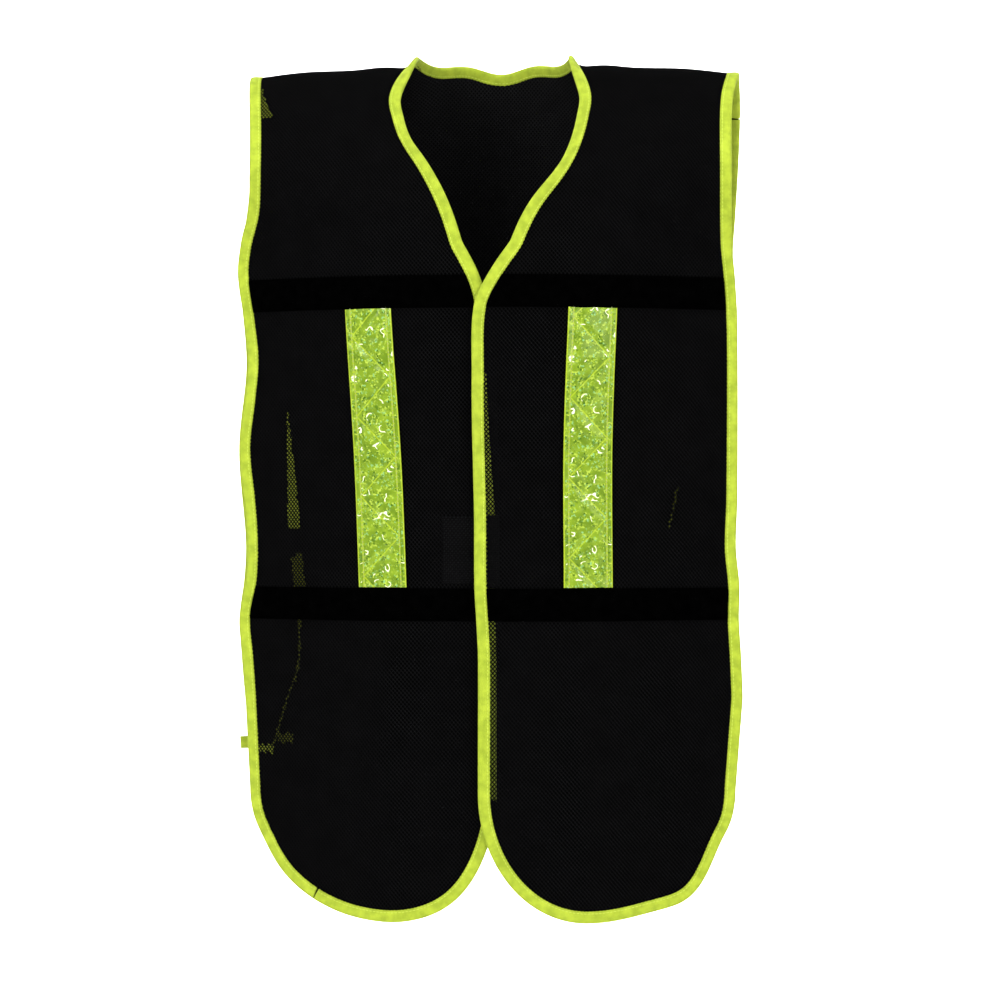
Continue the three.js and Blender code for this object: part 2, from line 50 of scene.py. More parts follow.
# Sizes shared with the CAD part, in millimetres
TAPE_WIDTH = 8.5
STRIP_WIDTH = 39
RIBBON_WIDTH = 10
SHOULDER_HALF_WIDTH = 196.5
PROFILE = {"half_width": 206, "flatness": 2.4, "fall": 1.4}
WINGS = {"body": 0.3, "shoulder": 0.72, "body_top": -150, "shoulder_base": -60}
OVERLAP = {"lift": 2.8, "full": 30, "none": 90}
NECK_HALF_WIDTH = 62
NAPE = {"depth": 75, "roundness": 0.55}
NECK_RISE = {"height": 178, "half_width": 80, "steepness": 3.2}
CHEST_HEIGHT = -230
RIDGE_HEIGHT = 6
SHOULDER_ARC = 276
SEAM_DEGREES = 89.6
TOP_LEVEL = SEAM_DEGREES / 90 * SHOULDER_ARC
HEM_TOP = -500
BODY_TOP = -140
FRONT_HEM = {"corner": -572, "lowest": -673, "lowest_share": 0.43}
BACK_HEM = {"corner": -520, "lowest": -612, "roundness": 0.77}
BANDS = {"chest_band": (-191, -165.5), "waist_band": (-437, -411.5)}

# Strips: side, distance from the middle at the top, halfway and at the bottom, and where the zigzag starts
STRIPS = {"reflective_strip_right": (-1, 92.5, 85.5, 81.5, 21.6), "reflective_strip_left": (1, 84, 80, 80, 7)}

# Patches: cut, left, right, bottom and top
PATCHES = {
    "inside_label": ("front_right", -34, -9.5, -409, -355),
    "closure_patch": ("front_left", 1.7, 17, -411, -354),
}

# Rows of (x, height): the top of the shoulder from the side of the neck out
RIDGE = [(NECK_HALF_WIDTH, 6), (88, 8.2), (115, 6), (155, 4.7), (200, -0.5)]

# Rows of (height, how far the cloth stands off the shoulder line)
DEPTHS = {
    "front": [(-690, 86), (-560, 88), (-400, 84), (CHEST_HEIGHT, 95)],
    "back": [(-690, 88), (-560, 84), (-400, 68), (CHEST_HEIGHT, 92)],
}

# Rows of (height, how far the right front stops short of the middle, how far the left one does)
FRONT_EDGE = [
    (-690, -7.7, -4), (-470, -7.2, -4), (-440, -6.5, -5.3), (-410, -5.5, -7), (-354, -6, -7.1),
    (-320, -3.8, -7.6), (-279, -1.4, -8.3), (-244, -0.2, -8.2), (-190, -0.5, -6.5), (-165, 6, 4.8),
    (-135, 22, 25.4), (-105, 40, 47), (-82, 52, 59.5), (-60, 62.5, 67.3), (-40, 69, 71.5),
    (-22, 72.3, 72.8), (RIDGE_HEIGHT, NECK_HALF_WIDTH, NECK_HALF_WIDTH),
]

# Rows of (height, how far the side edge lies from the middle)
SIDE_EDGES = {
    "front_right": [
        (-572, 193), (-515, 196), (-470, 199.5), (-437, 202.5), (-405, 196.5), (-375, 195.5), (-345, 197.5),
        (-300, 202), (-260, 197), (-230, 194), (-200, 197.5), (-160, 203.5), (-135, 200.5), (-108, 192.5),
        (-80, 190.5), (-50, 191), (-20, 193.5), (RIDGE_HEIGHT, SHOULDER_HALF_WIDTH),
    ],
    "front_left": [
        (-572, 194), (-545, 198), (-510, 199.7), (-470, 198.5), (-437, 196.6), (-410, 197), (-380, 194.2),
        (-340, 195.4), (-200, 195.3), (-165, 193.4), (-140, 191.2), (-80, 191.3), (-20, 191.5),
        (RIDGE_HEIGHT, SHOULDER_HALF_WIDTH),
    ],
    "back_right": [
        (-520, 204), (-470, 208), (-437, 209.5), (-405, 205.5), (-375, 204.5), (-300, 210.5), (-230, 205),
        (-150, 211), (-110, 207), (-60, 204), (-20, 198), (RIDGE_HEIGHT, SHOULDER_HALF_WIDTH),
    ],
    "back_left": [
        (-520, 196), (-470, 195), (-420, 193.3), (-380, 192), (-165, 191.7), (-140, 191), (-110, 192.8),
        (-80, 194.5), (-50, 196), (-20, 197), (RIDGE_HEIGHT, SHOULDER_HALF_WIDTH),
    ],
}

# Waves of a front's hem: rows of (share across, how far it drops, over what share)
HEM_WAVES = {
    "front_right": [(0.22, 5, 0.13), (0.84, -4, 0.07)],
    "front_left": [(0.71, 9.5, 0.1), (0.83, -5.5, 0.06)],
}

# Rows of (x, height, to x, to height, width, rise): soft folds along a line
FOLDS = {
    "front_right": [
        (-93, -60, -93, -135, 18, 4), (-170, -124, -115, -118, 15, -4),
        (-78, -450, -84, -545, 24, 6), (-88, -560, -112, -615, 26, 5),
    ],
    "front_left": [
        (120, -126, 168, -130, 15, -4), (112, -85, 112, -140, 16, 4), (106, -450, 122, -560, 24, 7),
        (128, -570, 138, -592, 26, 4), (184, -215, 146, -365, 22, 4),
    ],
    "back": [(-75, -330, -95, -600, 32, 6), (75, -330, 90, -600, 32, 6)],
}

# Routes of the ribbon ties from the taped back edge to the free end: rows of x, y, z and the degrees by
# which the ribbon is turned about its line
TIES = {
    "side_tie_right": {
        "sewn": (-201.6, -205),
        "route": [
            (-199, 20.5, -228, 30), (-194, 21, -243, 75), (-184, 26, -256, 95), (-175, 30, -268, 97),
            (-169, 29, -285, 90), (-166.5, 22, -310, 60), (-165.5, 14, -340, 25), (-165, 11, -361, 0),
            (-164, 14, -375, 85), (-160.5, 20, -395, 62), (-158.5, 21, -425, 90), (-158, 17, -465, 98),
            (-161, 11, -497, 98), (-170, 6, -523, 98), (-184, 2, -537, 60), (-207, 0, -539, 0),
        ],
    },
    "side_tie_left": {
        "sewn": (186.8, -262),
        "route": [
            (185.5, 21.5, -290, 40), (179, 21.5, -304, 80), (167, 21, -317, 92), (154, 20.3, -331, 92),
            (146, 19.6, -348, 80), (142, 19, -366, 75),
        ],
    },
}

# The knit: staggered holes between two families of slanting strands
HOLE_PITCH = 3.1
ROW_PITCH = 1.77
STRAND_WIDTH = 1.0
STRAND_TILT = 0.14
STRAND_OFFSETS = {1: -0.05, -1: 0.2}
OUTLINE_POINTS = 240

# The sheet of painted shade behind it, dark where the holes show only shade: inner and outer offset, and its
# grid, closer where a glimpse is narrow
SHADE_SHEET = (-0.75, -0.3)
SHADE_SHEET_ROWS = np.concatenate([np.linspace(0, 1, 36), np.linspace(1, 2, 110)[1:], np.linspace(2, 3, 50)[1:]])
FRONT_SHARES = np.concatenate([
    np.linspace(0, 0.2, 14), np.linspace(0.2, 0.68, 20)[1:], np.linspace(0.68, 0.9, 32)[1:],
    np.linspace(0.9, 1, 6)[1:],
])
BACK_SHARES = np.linspace(-1, 1, 64)

# Rows of (x, height, to x, to height, half width, to half width): strokes along which the sheet of painted
# shade is open, so that the label and the lapped edge behind the knit show
WINDOWS = {
    "front_right": [(-21.75, -355, -21.75, -409, 12.6, 12.6)],
    "front_left": [(3, -244, 3, -577, 9, 9)],
    "back": [],
}

# The same rows by look: strokes along which the sheet of painted shade is lime, where the photo shows a tie
# or the back's tape through the knit; the lime is painted darker than the tape as shade, and darker still
# where it lies deeper in shade
GLIMPSES = {
    "front_right": {
        "shaded_glimpse": [
            (-161.6, -272, -156.8, -363.5, 0.8, 5.3), (-174, -541, -190, -541, 3, 3),
            (-187, -5, -182, -33, 0.5, 7),
        ],
        "dim_shaded_glimpse": [
            (-154.6, -386, -151.8, -412, 5, 5), (-151.9, -437, -152.2, -470, 0.9, 0.9),
            (-152.2, -470, -155.1, -483, 0.9, 0.9), (-155.1, -483, -163, -502, 0.9, 0.9),
            (-163, -502, -171.7, -531, 0.9, 1), (-171.7, -531, -175.5, -539, 1, 1.2),
            (-170, -533, -157, -531, 3.5, 3.5),
        ],
    },
    "front_left": {"dim_shaded_glimpse": [(150, -333, 142.8, -366, 0.7, 0.7)]},
    "back": {},
}


# Surface

def mix(a, b, share):
    return a + (b - a) * share


def pairs(a, b):
    """Two arrays as one of pairs, spread to a common shape."""
    return np.stack(np.broadcast_arrays(a, b), axis=-1)


def ease(start, end, at):
    """0 before a start, 1 after an end, and a smooth rise between them."""
    share = np.clip((at - start) / (end - start), 0, 1)
    return share * share * (3 - 2 * share)


def through(table, at):
    """A smooth curve through the rows (by, of) of a table."""
    by, of = np.array(table, dtype=float).T
    last = len(by) - 1
    at = np.clip(at, by[0], by[-1])
    k = np.clip(np.searchsorted(by, at, side="right") - 1, 0, last - 1)
    before = np.maximum(np.arange(last + 1) - 1, 0)
    after = np.minimum(np.arange(last + 1) + 1, last)
    slope = (of[after] - of[before]) / (by[after] - by[before])
    step = by[k + 1] - by[k]
    t = (at - by[k]) / step
    held = (2 * t**3 - 3 * t**2 + 1) * of[k] + (3 * t**2 - 2 * t**3) * of[k + 1]
    return held + step * ((t**3 - 2 * t**2 + t) * slope[k] + (t**3 - t**2) * slope[k + 1])


def roll_angle(level):
    """How far the cloth has turned over the shoulder."""
    return np.maximum(0, level) * math.pi / 2 / SHOULDER_ARC


def height_at(level):
    """The height of a level on the cut's own scale, which leaves out the shape of the shoulder."""
    rolled = CHEST_HEIGHT + (RIDGE_HEIGHT - CHEST_HEIGHT) * np.sin(roll_angle(level))
    return np.where(level < 0, level + CHEST_HEIGHT, rolled)


def ridge_at(x):
    """The height at which the cloth would turn over, which runs up steeply inside the neck."""
    share = np.minimum(1, np.abs(x) / NECK_RISE["half_width"])
    return through(RIDGE, np.abs(x)) + NECK_RISE["height"] * (1 - share**2) ** NECK_RISE["steepness"]


def level_under(ridge, z):
    share = np.clip((z - CHEST_HEIGHT) / (ridge - CHEST_HEIGHT), 0, 1)
    return np.where(z < CHEST_HEIGHT, z - CHEST_HEIGHT, np.arcsin(share) * 2 * SHOULDER_ARC / math.pi)


def level_for(x, z):
    """The level at which the cloth reaches a true height."""
    return level_under(ridge_at(x), z)


def level_at(height):
    """The level of a height on the cut's own scale."""
    return level_under(RIDGE_HEIGHT, height)


def bell(x, height):
    """Depth of the cloth across a cut, as a share of the depth in its middle."""
    share = np.minimum(1, np.abs(x) / PROFILE["half_width"])
    wings = mix(WINGS["body"], WINGS["shoulder"], ease(WINGS["body_top"], WINGS["shoulder_base"], height))
    return wings + (1 - wings) * (1 - share ** PROFILE["flatness"]) ** PROFILE["fall"]


def from_line(points, from_x, from_z, to_x, to_z):
    """Where along a line, as a share, the place nearest to each point is, and how far away."""
    along = np.array([to_x - from_x, to_z - from_z], dtype=float)
    off = points - (from_x, from_z)
    share = np.clip(off @ along / (along @ along), 0, 1)
    return share, np.linalg.norm(off - share[..., None] * along, axis=-1)


def fold_rise(cut, x, height):
    rise = np.zeros_like(x)
    for *line, width, fold in FOLDS[cut]:
        _, away = from_line(pairs(x, height), *line)
        rise = rise + fold * np.exp(-((away / width) ** 2))
    return rise


def lap_lift(from_middle):
    return OVERLAP["lift"] * (1 - ease(OVERLAP["full"], OVERLAP["none"], from_middle))


# Each cut: which way it faces, its depth table, and how far it is lifted where the fronts lap
CUTS = {
    "front_right": (-1, "front", lambda x: -lap_lift(-x)),
    "front_left": (-1, "front", lap_lift),
    "back": (1, "back", np.zeros_like),
}


def on_cut(cut, x, level):
    """Points of a cut."""
    facing, depth, lift = CUTS[cut]
    height = height_at(level)
    angle = roll_angle(level)
    reach = through(DEPTHS[depth], height) * bell(x, height)
    out = (reach + fold_rise(cut, x, height) + lift(x)) * np.cos(angle)
    z = np.where(level < 0, height, CHEST_HEIGHT + (ridge_at(x) - CHEST_HEIGHT) * np.sin(angle))
    return np.stack([x, facing * out, z], axis=-1)


def slopes_of(cut, x, level):
    """How the point moves for one millimetre of x and of level."""
    per_x = on_cut(cut, x + 0.5, level) - on_cut(cut, x - 0.5, level)
    per_level = on_cut(cut, x, level + 0.5) - on_cut(cut, x, level - 0.5)
    return per_x, per_level


def unit(vectors):
    return vectors / np.linalg.norm(vectors, axis=-1, keepdims=True)


def normal_of(cut, x, level):
    """Normals of a cut, away from the wearer."""
    return unit(np.cross(*slopes_of(cut, x, level))) * -CUTS[cut][0]


def above(cut, x, level, offset):
    """Points off a cut, along its normals."""
    return on_cut(cut, x, level) + normal_of(cut, x, level) * np.asarray(offset)[..., None]


# Outlines: a cut's points by share across and by v, which is 0 at the hem, 1 to 2 on the body, 3 on top

def side_edge(edge, height):
    return through(SIDE_EDGES[edge], height)


def wearer_side(side):
    return "front_right" if side < 0 else "front_left"


def front_x(side, share, height):
    column = 1 if side < 0 else 2
    inner = through([(row[0], row[column]) for row in FRONT_EDGE], height)
    return side * mix(inner, side_edge(wearer_side(side), height), share)


def front_hem(side, share):
    """(x, level) along the hem of a front."""
    corner, lowest, low_share = FRONT_HEM["corner"], FRONT_HEM["lowest"], FRONT_HEM["lowest_share"]
    low = front_x(side, low_share, corner)
    near_edge = share < low_share
    turn = np.where(near_edge, share / low_share, (1 - share) / (1 - low_share)) * math.pi / 2
    end = np.where(near_edge, front_x(side, 0, corner), front_x(side, 1, corner))
    waves = HEM_WAVES[wearer_side(side)]
    drop = sum(depth * np.exp(-(((share - at) / reach) ** 2)) for at, depth, reach in waves)
    return low + (end - low) * np.cos(turn), level_at(corner + (lowest - corner) * np.sin(turn) - drop)


def back_x(share, height):
    return share * np.where(share < 0, side_edge("back_right", height), side_edge("back_left", height))


def back_hem(share):
    """(x, level) along the hem of the back."""
    corner, lowest, roundness = BACK_HEM["corner"], BACK_HEM["lowest"], BACK_HEM["roundness"]
    turn = share * math.pi / 2
    x = back_x(np.sign(share), corner) * np.abs(np.sin(turn)) ** roundness
    return x, level_at(corner + (lowest - corner) * np.abs(np.cos(turn)) ** roundness)


def back_top(share):
    """The level at which the back ends: at the shoulder seam or, inside the neck, at the neckline."""
    across = np.minimum(1, np.abs(back_x(share, RIDGE_HEIGHT)) / NECK_HALF_WIDTH)
    angle = np.arccos(NAPE["depth"] / DEPTHS["back"][-1][1] * (1 - across**2) ** NAPE["roundness"])
    return np.minimum(TOP_LEVEL, angle * 2 * SHOULDER_ARC / math.pi)


# x by share across and height, and the hem by share across
X_AT = {"front_right": partial(front_x, -1), "front_left": partial(front_x, 1), "back": back_x}
HEMS = {"front_right": partial(front_hem, -1), "front_left": partial(front_hem, 1), "back": back_hem}


def cut_point(cut, share, v):
    """(x, level) of a cut at a share across and at v."""
    share, v = np.broadcast_arrays(np.asarray(share, dtype=float), np.asarray(v, dtype=float))
    x_at, hem = X_AT[cut], HEMS[cut](share)
    top = back_top(share) if cut == "back" else TOP_LEVEL
    z = mix(HEM_TOP, BODY_TOP, np.clip(v - 1, 0, 1))
    body_x = x_at(share, z)
    body_level = level_for(body_x, z)
    rise = np.clip(v - 2, 0, 1)
    top_x = x_at(share, height_at(mix(level_at(BODY_TOP), TOP_LEVEL, rise)))
    top_level = mix(level_for(top_x, BODY_TOP), top, rise)
    low = np.clip(v, 0, 1)
    x = np.where(v > 2, top_x, mix(hem[0], body_x, low))
    level = np.where(v > 2, top_level, mix(hem[1], body_level, low))
    return x, level


# Meshes from arrays

def placed(name, data):
    """A new object in the scene."""
    thing = bpy.data.objects.new(name, data)
    bpy.context.scene.collection.objects.link(thing)
    return thing


def mesh_piece(name, points, faces, uv, looks, face_looks=None):
    """A smooth mesh piece from points in millimetres, quads or triangles, and cloth coordinates."""
    faces = np.asarray(faces, dtype=np.int32)
    sides = faces.shape[1]
    mesh = bpy.data.meshes.new(name)
    mesh.vertices.add(len(points))
    mesh.vertices.foreach_set("co", (np.asarray(points) * MM).astype(np.float32).ravel())
    mesh.loops.add(faces.size)
    mesh.loops.foreach_set("vertex_index", faces.ravel())
    mesh.polygons.add(len(faces))
    mesh.polygons.foreach_set("loop_start", np.arange(0, faces.size, sides, dtype=np.int32))
    mesh.polygons.foreach_set("use_smooth", np.ones(len(faces), dtype=bool))
    layer = mesh.uv_layers.new(name=UV_NAME)
    layer.data.foreach_set("uv", np.asarray(uv, dtype=np.float32)[faces.ravel()].ravel())
    for look in looks:
        mesh.materials.append(look)
    if face_looks is not None:
        mesh.polygons.foreach_set("material_index", np.asarray(face_looks, dtype=np.int32))
    mesh.update(calc_edges=True)
    mesh.validate()
    piece = placed(name, mesh)
    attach(piece, "root")
    return piece


def grid_quads(rows, columns, wrap=False):
    """Quads of a grid of points, row by row, closed round its columns where it wraps."""
    i, j = np.meshgrid(np.arange(rows - 1), np.arange(columns if wrap else columns - 1), indexing="ij")
    k = (j + 1) % columns
    a, b, c, d = i * columns + j, i * columns + k, (i + 1) * columns + k, (i + 1) * columns + j
    return np.stack([a, b, c, d], axis=-1).reshape(-1, 4)


def rim_of(rows, columns):
    """The border of a grid of points, in order."""
    index = np.arange(rows * columns).reshape(rows, columns)
    return np.concatenate([index[0], index[1:, -1], index[-1, -2::-1], index[-2:0:-1, 0]])


def between(outer, inner):
    """Points and quads of a sheet between two grids of points, and how many of the quads face out."""
    rows, columns, _ = outer.shape
    count = rows * columns
    quads = grid_quads(rows, columns)
    rim = rim_of(rows, columns)
    ahead = np.roll(rim, -1)
    wall = np.stack([ahead, rim, rim + count, ahead + count], axis=-1)
    faces = np.concatenate([quads, quads[:, ::-1] + count, wall])
    across, up = outer[0, 1] - outer[0, 0], outer[1, 0] - outer[0, 0]
    if np.cross(across, up) @ (outer[0, 0] - inner[0, 0]) < 0:
        faces = faces[:, ::-1]
    return np.concatenate([outer.reshape(-1, 3), inner.reshape(-1, 3)]), faces, len(quads)


def slab(cut, x, level, outer, inner):
    """A sheet between two offsets from a cut."""
    return between(above(cut, x, level, outer), above(cut, x, level, inner))


def run_of(points):
    """Length from the start of a line of points to each of them."""
    return np.concatenate([[0], np.cumsum(np.linalg.norm(np.diff(points, axis=0), axis=-1))])


def on_run(at, run, values):
    """Values given along a run, at some lengths along it."""
    return np.stack([np.interp(at, run, values[:, k]) for k in range(values.shape[1])], axis=-1)


FLAT_REACH = 240
FLAT_LEVEL = -70.0


def flat_across(cut):
    """Rows of (x, arc length) across a cut at a reference level, to lay out the knit without stretch."""
    x = np.linspace(-FLAT_REACH, FLAT_REACH, 4 * FLAT_REACH + 1)
    length = run_of(on_cut(cut, x, np.full_like(x, FLAT_LEVEL)))
    return x, length - np.interp(0, x, length)


FLAT = {cut: flat_across(cut) for cut in CUTS}

# A grid of x and level on which length up the cloth is measured, and how a level is found again from a length
ARC_REACH = 220
ARC_GRID = (89, 139)
ARC_X = np.linspace(-ARC_REACH, ARC_REACH, ARC_GRID[0])
ARC_LEVELS = np.linspace(0, TOP_LEVEL, ARC_GRID[1])
ARC_ROUNDS = 8
ARC_STEP = 1


def arc_table(cut):
    """Length up the cloth from the chest line, at each place of the grid."""
    points = on_cut(cut, *np.meshgrid(ARC_X, ARC_LEVELS, indexing="ij"))
    steps = np.linalg.norm(np.diff(points, axis=1), axis=-1)
    return np.concatenate([np.zeros((len(ARC_X), 1)), np.cumsum(steps, axis=1)], axis=1)


ARCS = {cut: arc_table(cut) for cut in CUTS}


def grid_place(grid, at):
    """The cell of an even grid that holds a value, and the share of the way through it."""
    place = np.clip((at - grid[0]) / (grid[1] - grid[0]), 0, len(grid) - 1)
    cell = np.minimum(place.astype(int), len(grid) - 2)
    return cell, place - cell


def length_up(cut, x, level):
    """Length of cloth from the chest line up to a level; below the line a level is a length."""
    table = ARCS[cut]
    i, across = grid_place(ARC_X, x)
    j, up = grid_place(ARC_LEVELS, level)
    low, high = mix(table[i, j], table[i + 1, j], across), mix(table[i, j + 1], table[i + 1, j + 1], across)
    return np.where(level < 0, level, mix(low, high, up))


def level_up(cut, x, length):
    """The level that a length of cloth from the chest line reaches."""
    highest = TOP_LEVEL - ARC_STEP
    level = np.clip(length, 0, highest)
    for _ in range(ARC_ROUNDS):
        reached = length_up(cut, x, level)
        slope = (length_up(cut, x, level + ARC_STEP) - reached) / ARC_STEP
        level = np.clip(level + (length - reached) / slope, 0, highest)
    return np.where(length < 0, length, level)


# Looks

def grey(tone, blue=None):
    """A grey colour, which may have a blue part of its own."""
    return (tone, tone, tone if blue is None else blue, 1)


# Dark and light tone of each look
TONES = {
    "yarn": (grey(0.002, 0.0021), grey(0.0082, 0.0086)),
    "inside_yarn": (grey(0.0042, 0.0044), grey(0.0078, 0.0082)),
    # painted shade: the dark sheets behind the knit, which close its holes
    "front_ground": (grey(0.0002), grey(0.0006)),
    "back_ground": (grey(0.0016, 0.0017), grey(0.0026, 0.0028)),
    # painted shade: the tape's lime darkened where a tie or tape lies in shade inside the vest, the dim one
    # more
    "shaded_glimpse": ((0.12, 0.15, 0.008, 1), (0.19, 0.23, 0.014, 1)),
    "dim_shaded_glimpse": ((0.035, 0.04, 0.004, 1), (0.055, 0.06, 0.006, 1)),
    "band": (grey(0.0002), grey(0.0006)),
    "tape": ((0.28, 0.37, 0.02, 1), (0.46, 0.57, 0.04, 1)),
    "tape_thread": ((0.42, 0.55, 0.05, 1), (0.60, 0.70, 0.12, 1)),
    "band_thread": (grey(0.0003), grey(0.0007)),
    "strip_thread": ((0.15, 0.19, 0.06, 1), (0.33, 0.37, 0.18, 1)),
    "pvc": ((0.095, 0.165, 0.007, 1), (0.165, 0.255, 0.012, 1)),
    "inside_label": (grey(0.004, 0.0044), grey(0.007, 0.0076)),
    "closure_patch": (grey(0.0006), grey(0.0014)),
    "studio": (grey(0.86), grey(0.89)),
}
# painted shade: the dark at the edges of each strand, and in the holes drawn on the knit's inside
PAINTED_SHADE = grey(0.0003)

# Tones of the prismatic plastic, with a painted shade and a painted highlight; its facets are rows of (colour
# channel of a cell, from, to, tone)
FACETS = [
    (0, 0.6, 0.85, (0.30, 0.40, 0.04, 1)),
    (1, 0.84, 0.95, (0.17, 0.36, 0.12, 1)),
    (2, 0.88, 0.97, (0.04, 0.095, 0.005, 1)),
]
# painted shade: the darker green of the patches on the plastic
PAINTED_SHADOW = (0.05, 0.11, 0.004, 1)
SEALED = (0.30, 0.39, 0.016, 1)
# painted highlight: the white of the curved glints on the plastic
PAINTED_GLINT = (0.80, 0.82, 0.55, 1)

# Strands: shares of the hole pitch over which a strand is palest, and by which it has gone dark with painted
# shade, as at the edges of a round strand
FRONT_STRAND = (0.05, 0.15)
BACK_STRAND = (0.1, 0.3)
INSIDE_STRAND = (0.1, 0.28)

THREAD_TWIST = 0.6
PATCH_WEAVE = 2 * math.pi / 9
STRIP_BORDER = 4.3
ZIGZAG_STEP = 31.5


class Look:
    """A node material put together step by step."""

    def __init__(self, name):
        self.material = bpy.data.materials.new(name)
        self.material.use_nodes = True
        self.tree = self.material.node_tree
        self.shader = self.tree.nodes["Principled BSDF"]

    def put(self, socket, value):
        if isinstance(value, bpy.types.NodeSocket):
            self.tree.links.new(value, socket)
        else:
            socket.default_value = value

    def node(self, kind, inputs, **settings):
        node = self.tree.nodes.new(kind)
        for key, value in settings.items():
            setattr(node, key, value)
        for key, value in inputs.items():
            self.put(node.inputs[key], value)
        return node

    def math(self, operation, a, b=0.0):
        return self.node("ShaderNodeMath", {0: a, 1: b}, operation=operation).outputs[0]

    def uv(self):
        """The cloth coordinates, in millimetres, as a vector and its two parts."""
        vector = self.node("ShaderNodeUVMap", {}, uv_map=UV_NAME).outputs["UV"]
        parts = self.node("ShaderNodeSeparateXYZ", {0: vector}).outputs
        return vector, parts[0], parts[1]

    def noise(self, vector, scale, detail=3.0):
        inputs = {"Vector": vector, "Scale": scale, "Detail": detail}
        return self.node("ShaderNodeTexNoise", inputs).outputs["Fac"]

    def wave(self, value, length):
        return self.math("SINE", self.math("MULTIPLY", value, 2 * math.pi / length))

    def ramp(self, value, low, high, start=0.0, end=1.0):
        inputs = {"Value": value, "From Min": low, "From Max": high, "To Min": start, "To Max": end}
        return self.node("ShaderNodeMapRange", inputs, interpolation_type="SMOOTHSTEP").outputs["Result"]

    def blend(self, share, a, b):
        inputs = {0: share, 6: a, 7: b}
        return self.node("ShaderNodeMix", inputs, data_type="RGBA").outputs[2]

    def bump(self, height, distance):
        inputs = {"Height": height, "Distance": distance, "Strength": 1.0}
        self.put(self.shader.inputs["Normal"], self.node("ShaderNodeBump", inputs).outputs["Normal"])

    def finish(self, color, roughness, shine=0.5):
        for key, value in zip(("Base Color", "Roughness", "Specular IOR Level"), (color, roughness, shine)):
            self.put(self.shader.inputs[key], value)
        return self.material


def knit_lines(look, across, up, core, fade):
    """1 along the middle of both families of strands, falling to 0 beside it, by shares of the hole pitch."""
    straight = look.math("MULTIPLY", across, 1 / HOLE_PITCH)
    slant = look.math("MULTIPLY", up, 0.5 / ROW_PITCH)
    lines = []
    for sign in ("ADD", "SUBTRACT"):
        phase = look.math("FRACT", look.math(sign, straight, slant))
        away = look.math("SUBTRACT", 0.5, look.math("ABSOLUTE", look.math("SUBTRACT", phase, 0.5)))
        lines.append(look.ramp(away, core, fade, start=1.0, end=0.0))
    return look.math("MAXIMUM", *lines)


def strand_look(name, core, fade):
    """Dull black yarn, palest along the middle of each strand, with painted shade darkening it towards its
    edges.
    """
    look = Look(name)
    vector, across, up = look.uv()
    fibre = look.noise(vector, scale=2.5)
    worn = look.math("MULTIPLY", look.noise(vector, scale=0.05), fibre)
    lines = knit_lines(look, across, up, core, fade)
    look.bump(fibre, distance=0.0002)
    # painted shade: each strand darkens from its middle to its edges
    color = look.blend(lines, PAINTED_SHADE, look.blend(worn, *TONES["yarn"]))
    return look.finish(color, 0.9, shine=0.01)


def shade_sheet_look(name):
    """Painted shade: a dark sheet behind the strands."""
    look = Look(name)
    vector, _, _ = look.uv()
    color = look.blend(look.noise(vector, scale=0.4), *TONES[name])
    return look.finish(color, 1.0, shine=0.0)


def knit_lining_look():
    """The inside of the knit: the same strands, drawn and raised by bump, with painted shade in the holes
    between them.
    """
    look = Look("knit_inside")
    vector, across, up = look.uv()
    lines = knit_lines(look, across, up, *INSIDE_STRAND)
    yarn = look.blend(look.noise(vector, scale=0.06), *TONES["inside_yarn"])
    look.bump(lines, distance=0.0002)
    # painted shade in the holes between the drawn strands
    return look.finish(look.blend(lines, PAINTED_SHADE, yarn), 0.9, shine=0.01)


def woven_look(name, tones, shine, rib=0.9, roughness=0.75, depth=0.00025):
    """A narrow woven tape with ribs across its length and a soft change of shade."""
    look = Look(name)
    vector, along, across = look.uv()
    weave = look.math("MULTIPLY", look.wave(along, rib), look.wave(across, rib))
    shade = look.math("ADD", look.noise(vector, scale=0.12), look.math("MULTIPLY", weave, 0.12))
    look.bump(weave, depth)
    color = look.blend(look.ramp(shade, 0.25, 0.8), *tones)
    return look.finish(color, roughness, shine)


def thread_look(name, tones, shine):
    """Twisted sewing thread."""
    look = Look(name)
    vector, along, _ = look.uv()
    look.bump(look.wave(along, THREAD_TWIST), distance=0.0001)
    color = look.blend(look.noise(vector, scale=0.8), *tones)
    return look.finish(color, 0.7, shine)


def patch_look(name, tones):
    """Plain close-woven cloth."""
    look = Look(name)
    vector, across, along = look.uv()
    weave = look.math("MULTIPLY", look.wave(across, PATCH_WEAVE), look.wave(along, PATCH_WEAVE))
    look.bump(weave, distance=0.00015)
    color = look.blend(look.noise(vector, scale=0.3), *tones)
    return look.finish(color, 0.8, shine=0.1)


def facet_color(look, vector, tint):
    """The plastic's own colour with speckled facets, and darker patches of painted shade."""
    patches = look.ramp(look.noise(vector, scale=0.09, detail=2.0), 0.3, 0.7)
    speckled = look.ramp(look.noise(vector, scale=0.2, detail=1.0), 0.38, 0.58)
    color = look.blend(patches, *TONES["pvc"])
    for channel, low, high, tone in FACETS:
        share = look.math("MULTIPLY", look.ramp(tint[channel], low, high), speckled)
        color = look.blend(share, color, tone)
    # painted shade in darker patches
    dark = look.ramp(look.noise(vector, scale=0.14, detail=1.0), 0.63, 0.72)
    return look.blend(look.math("MULTIPLY", dark, 0.8), color, PAINTED_SHADOW)


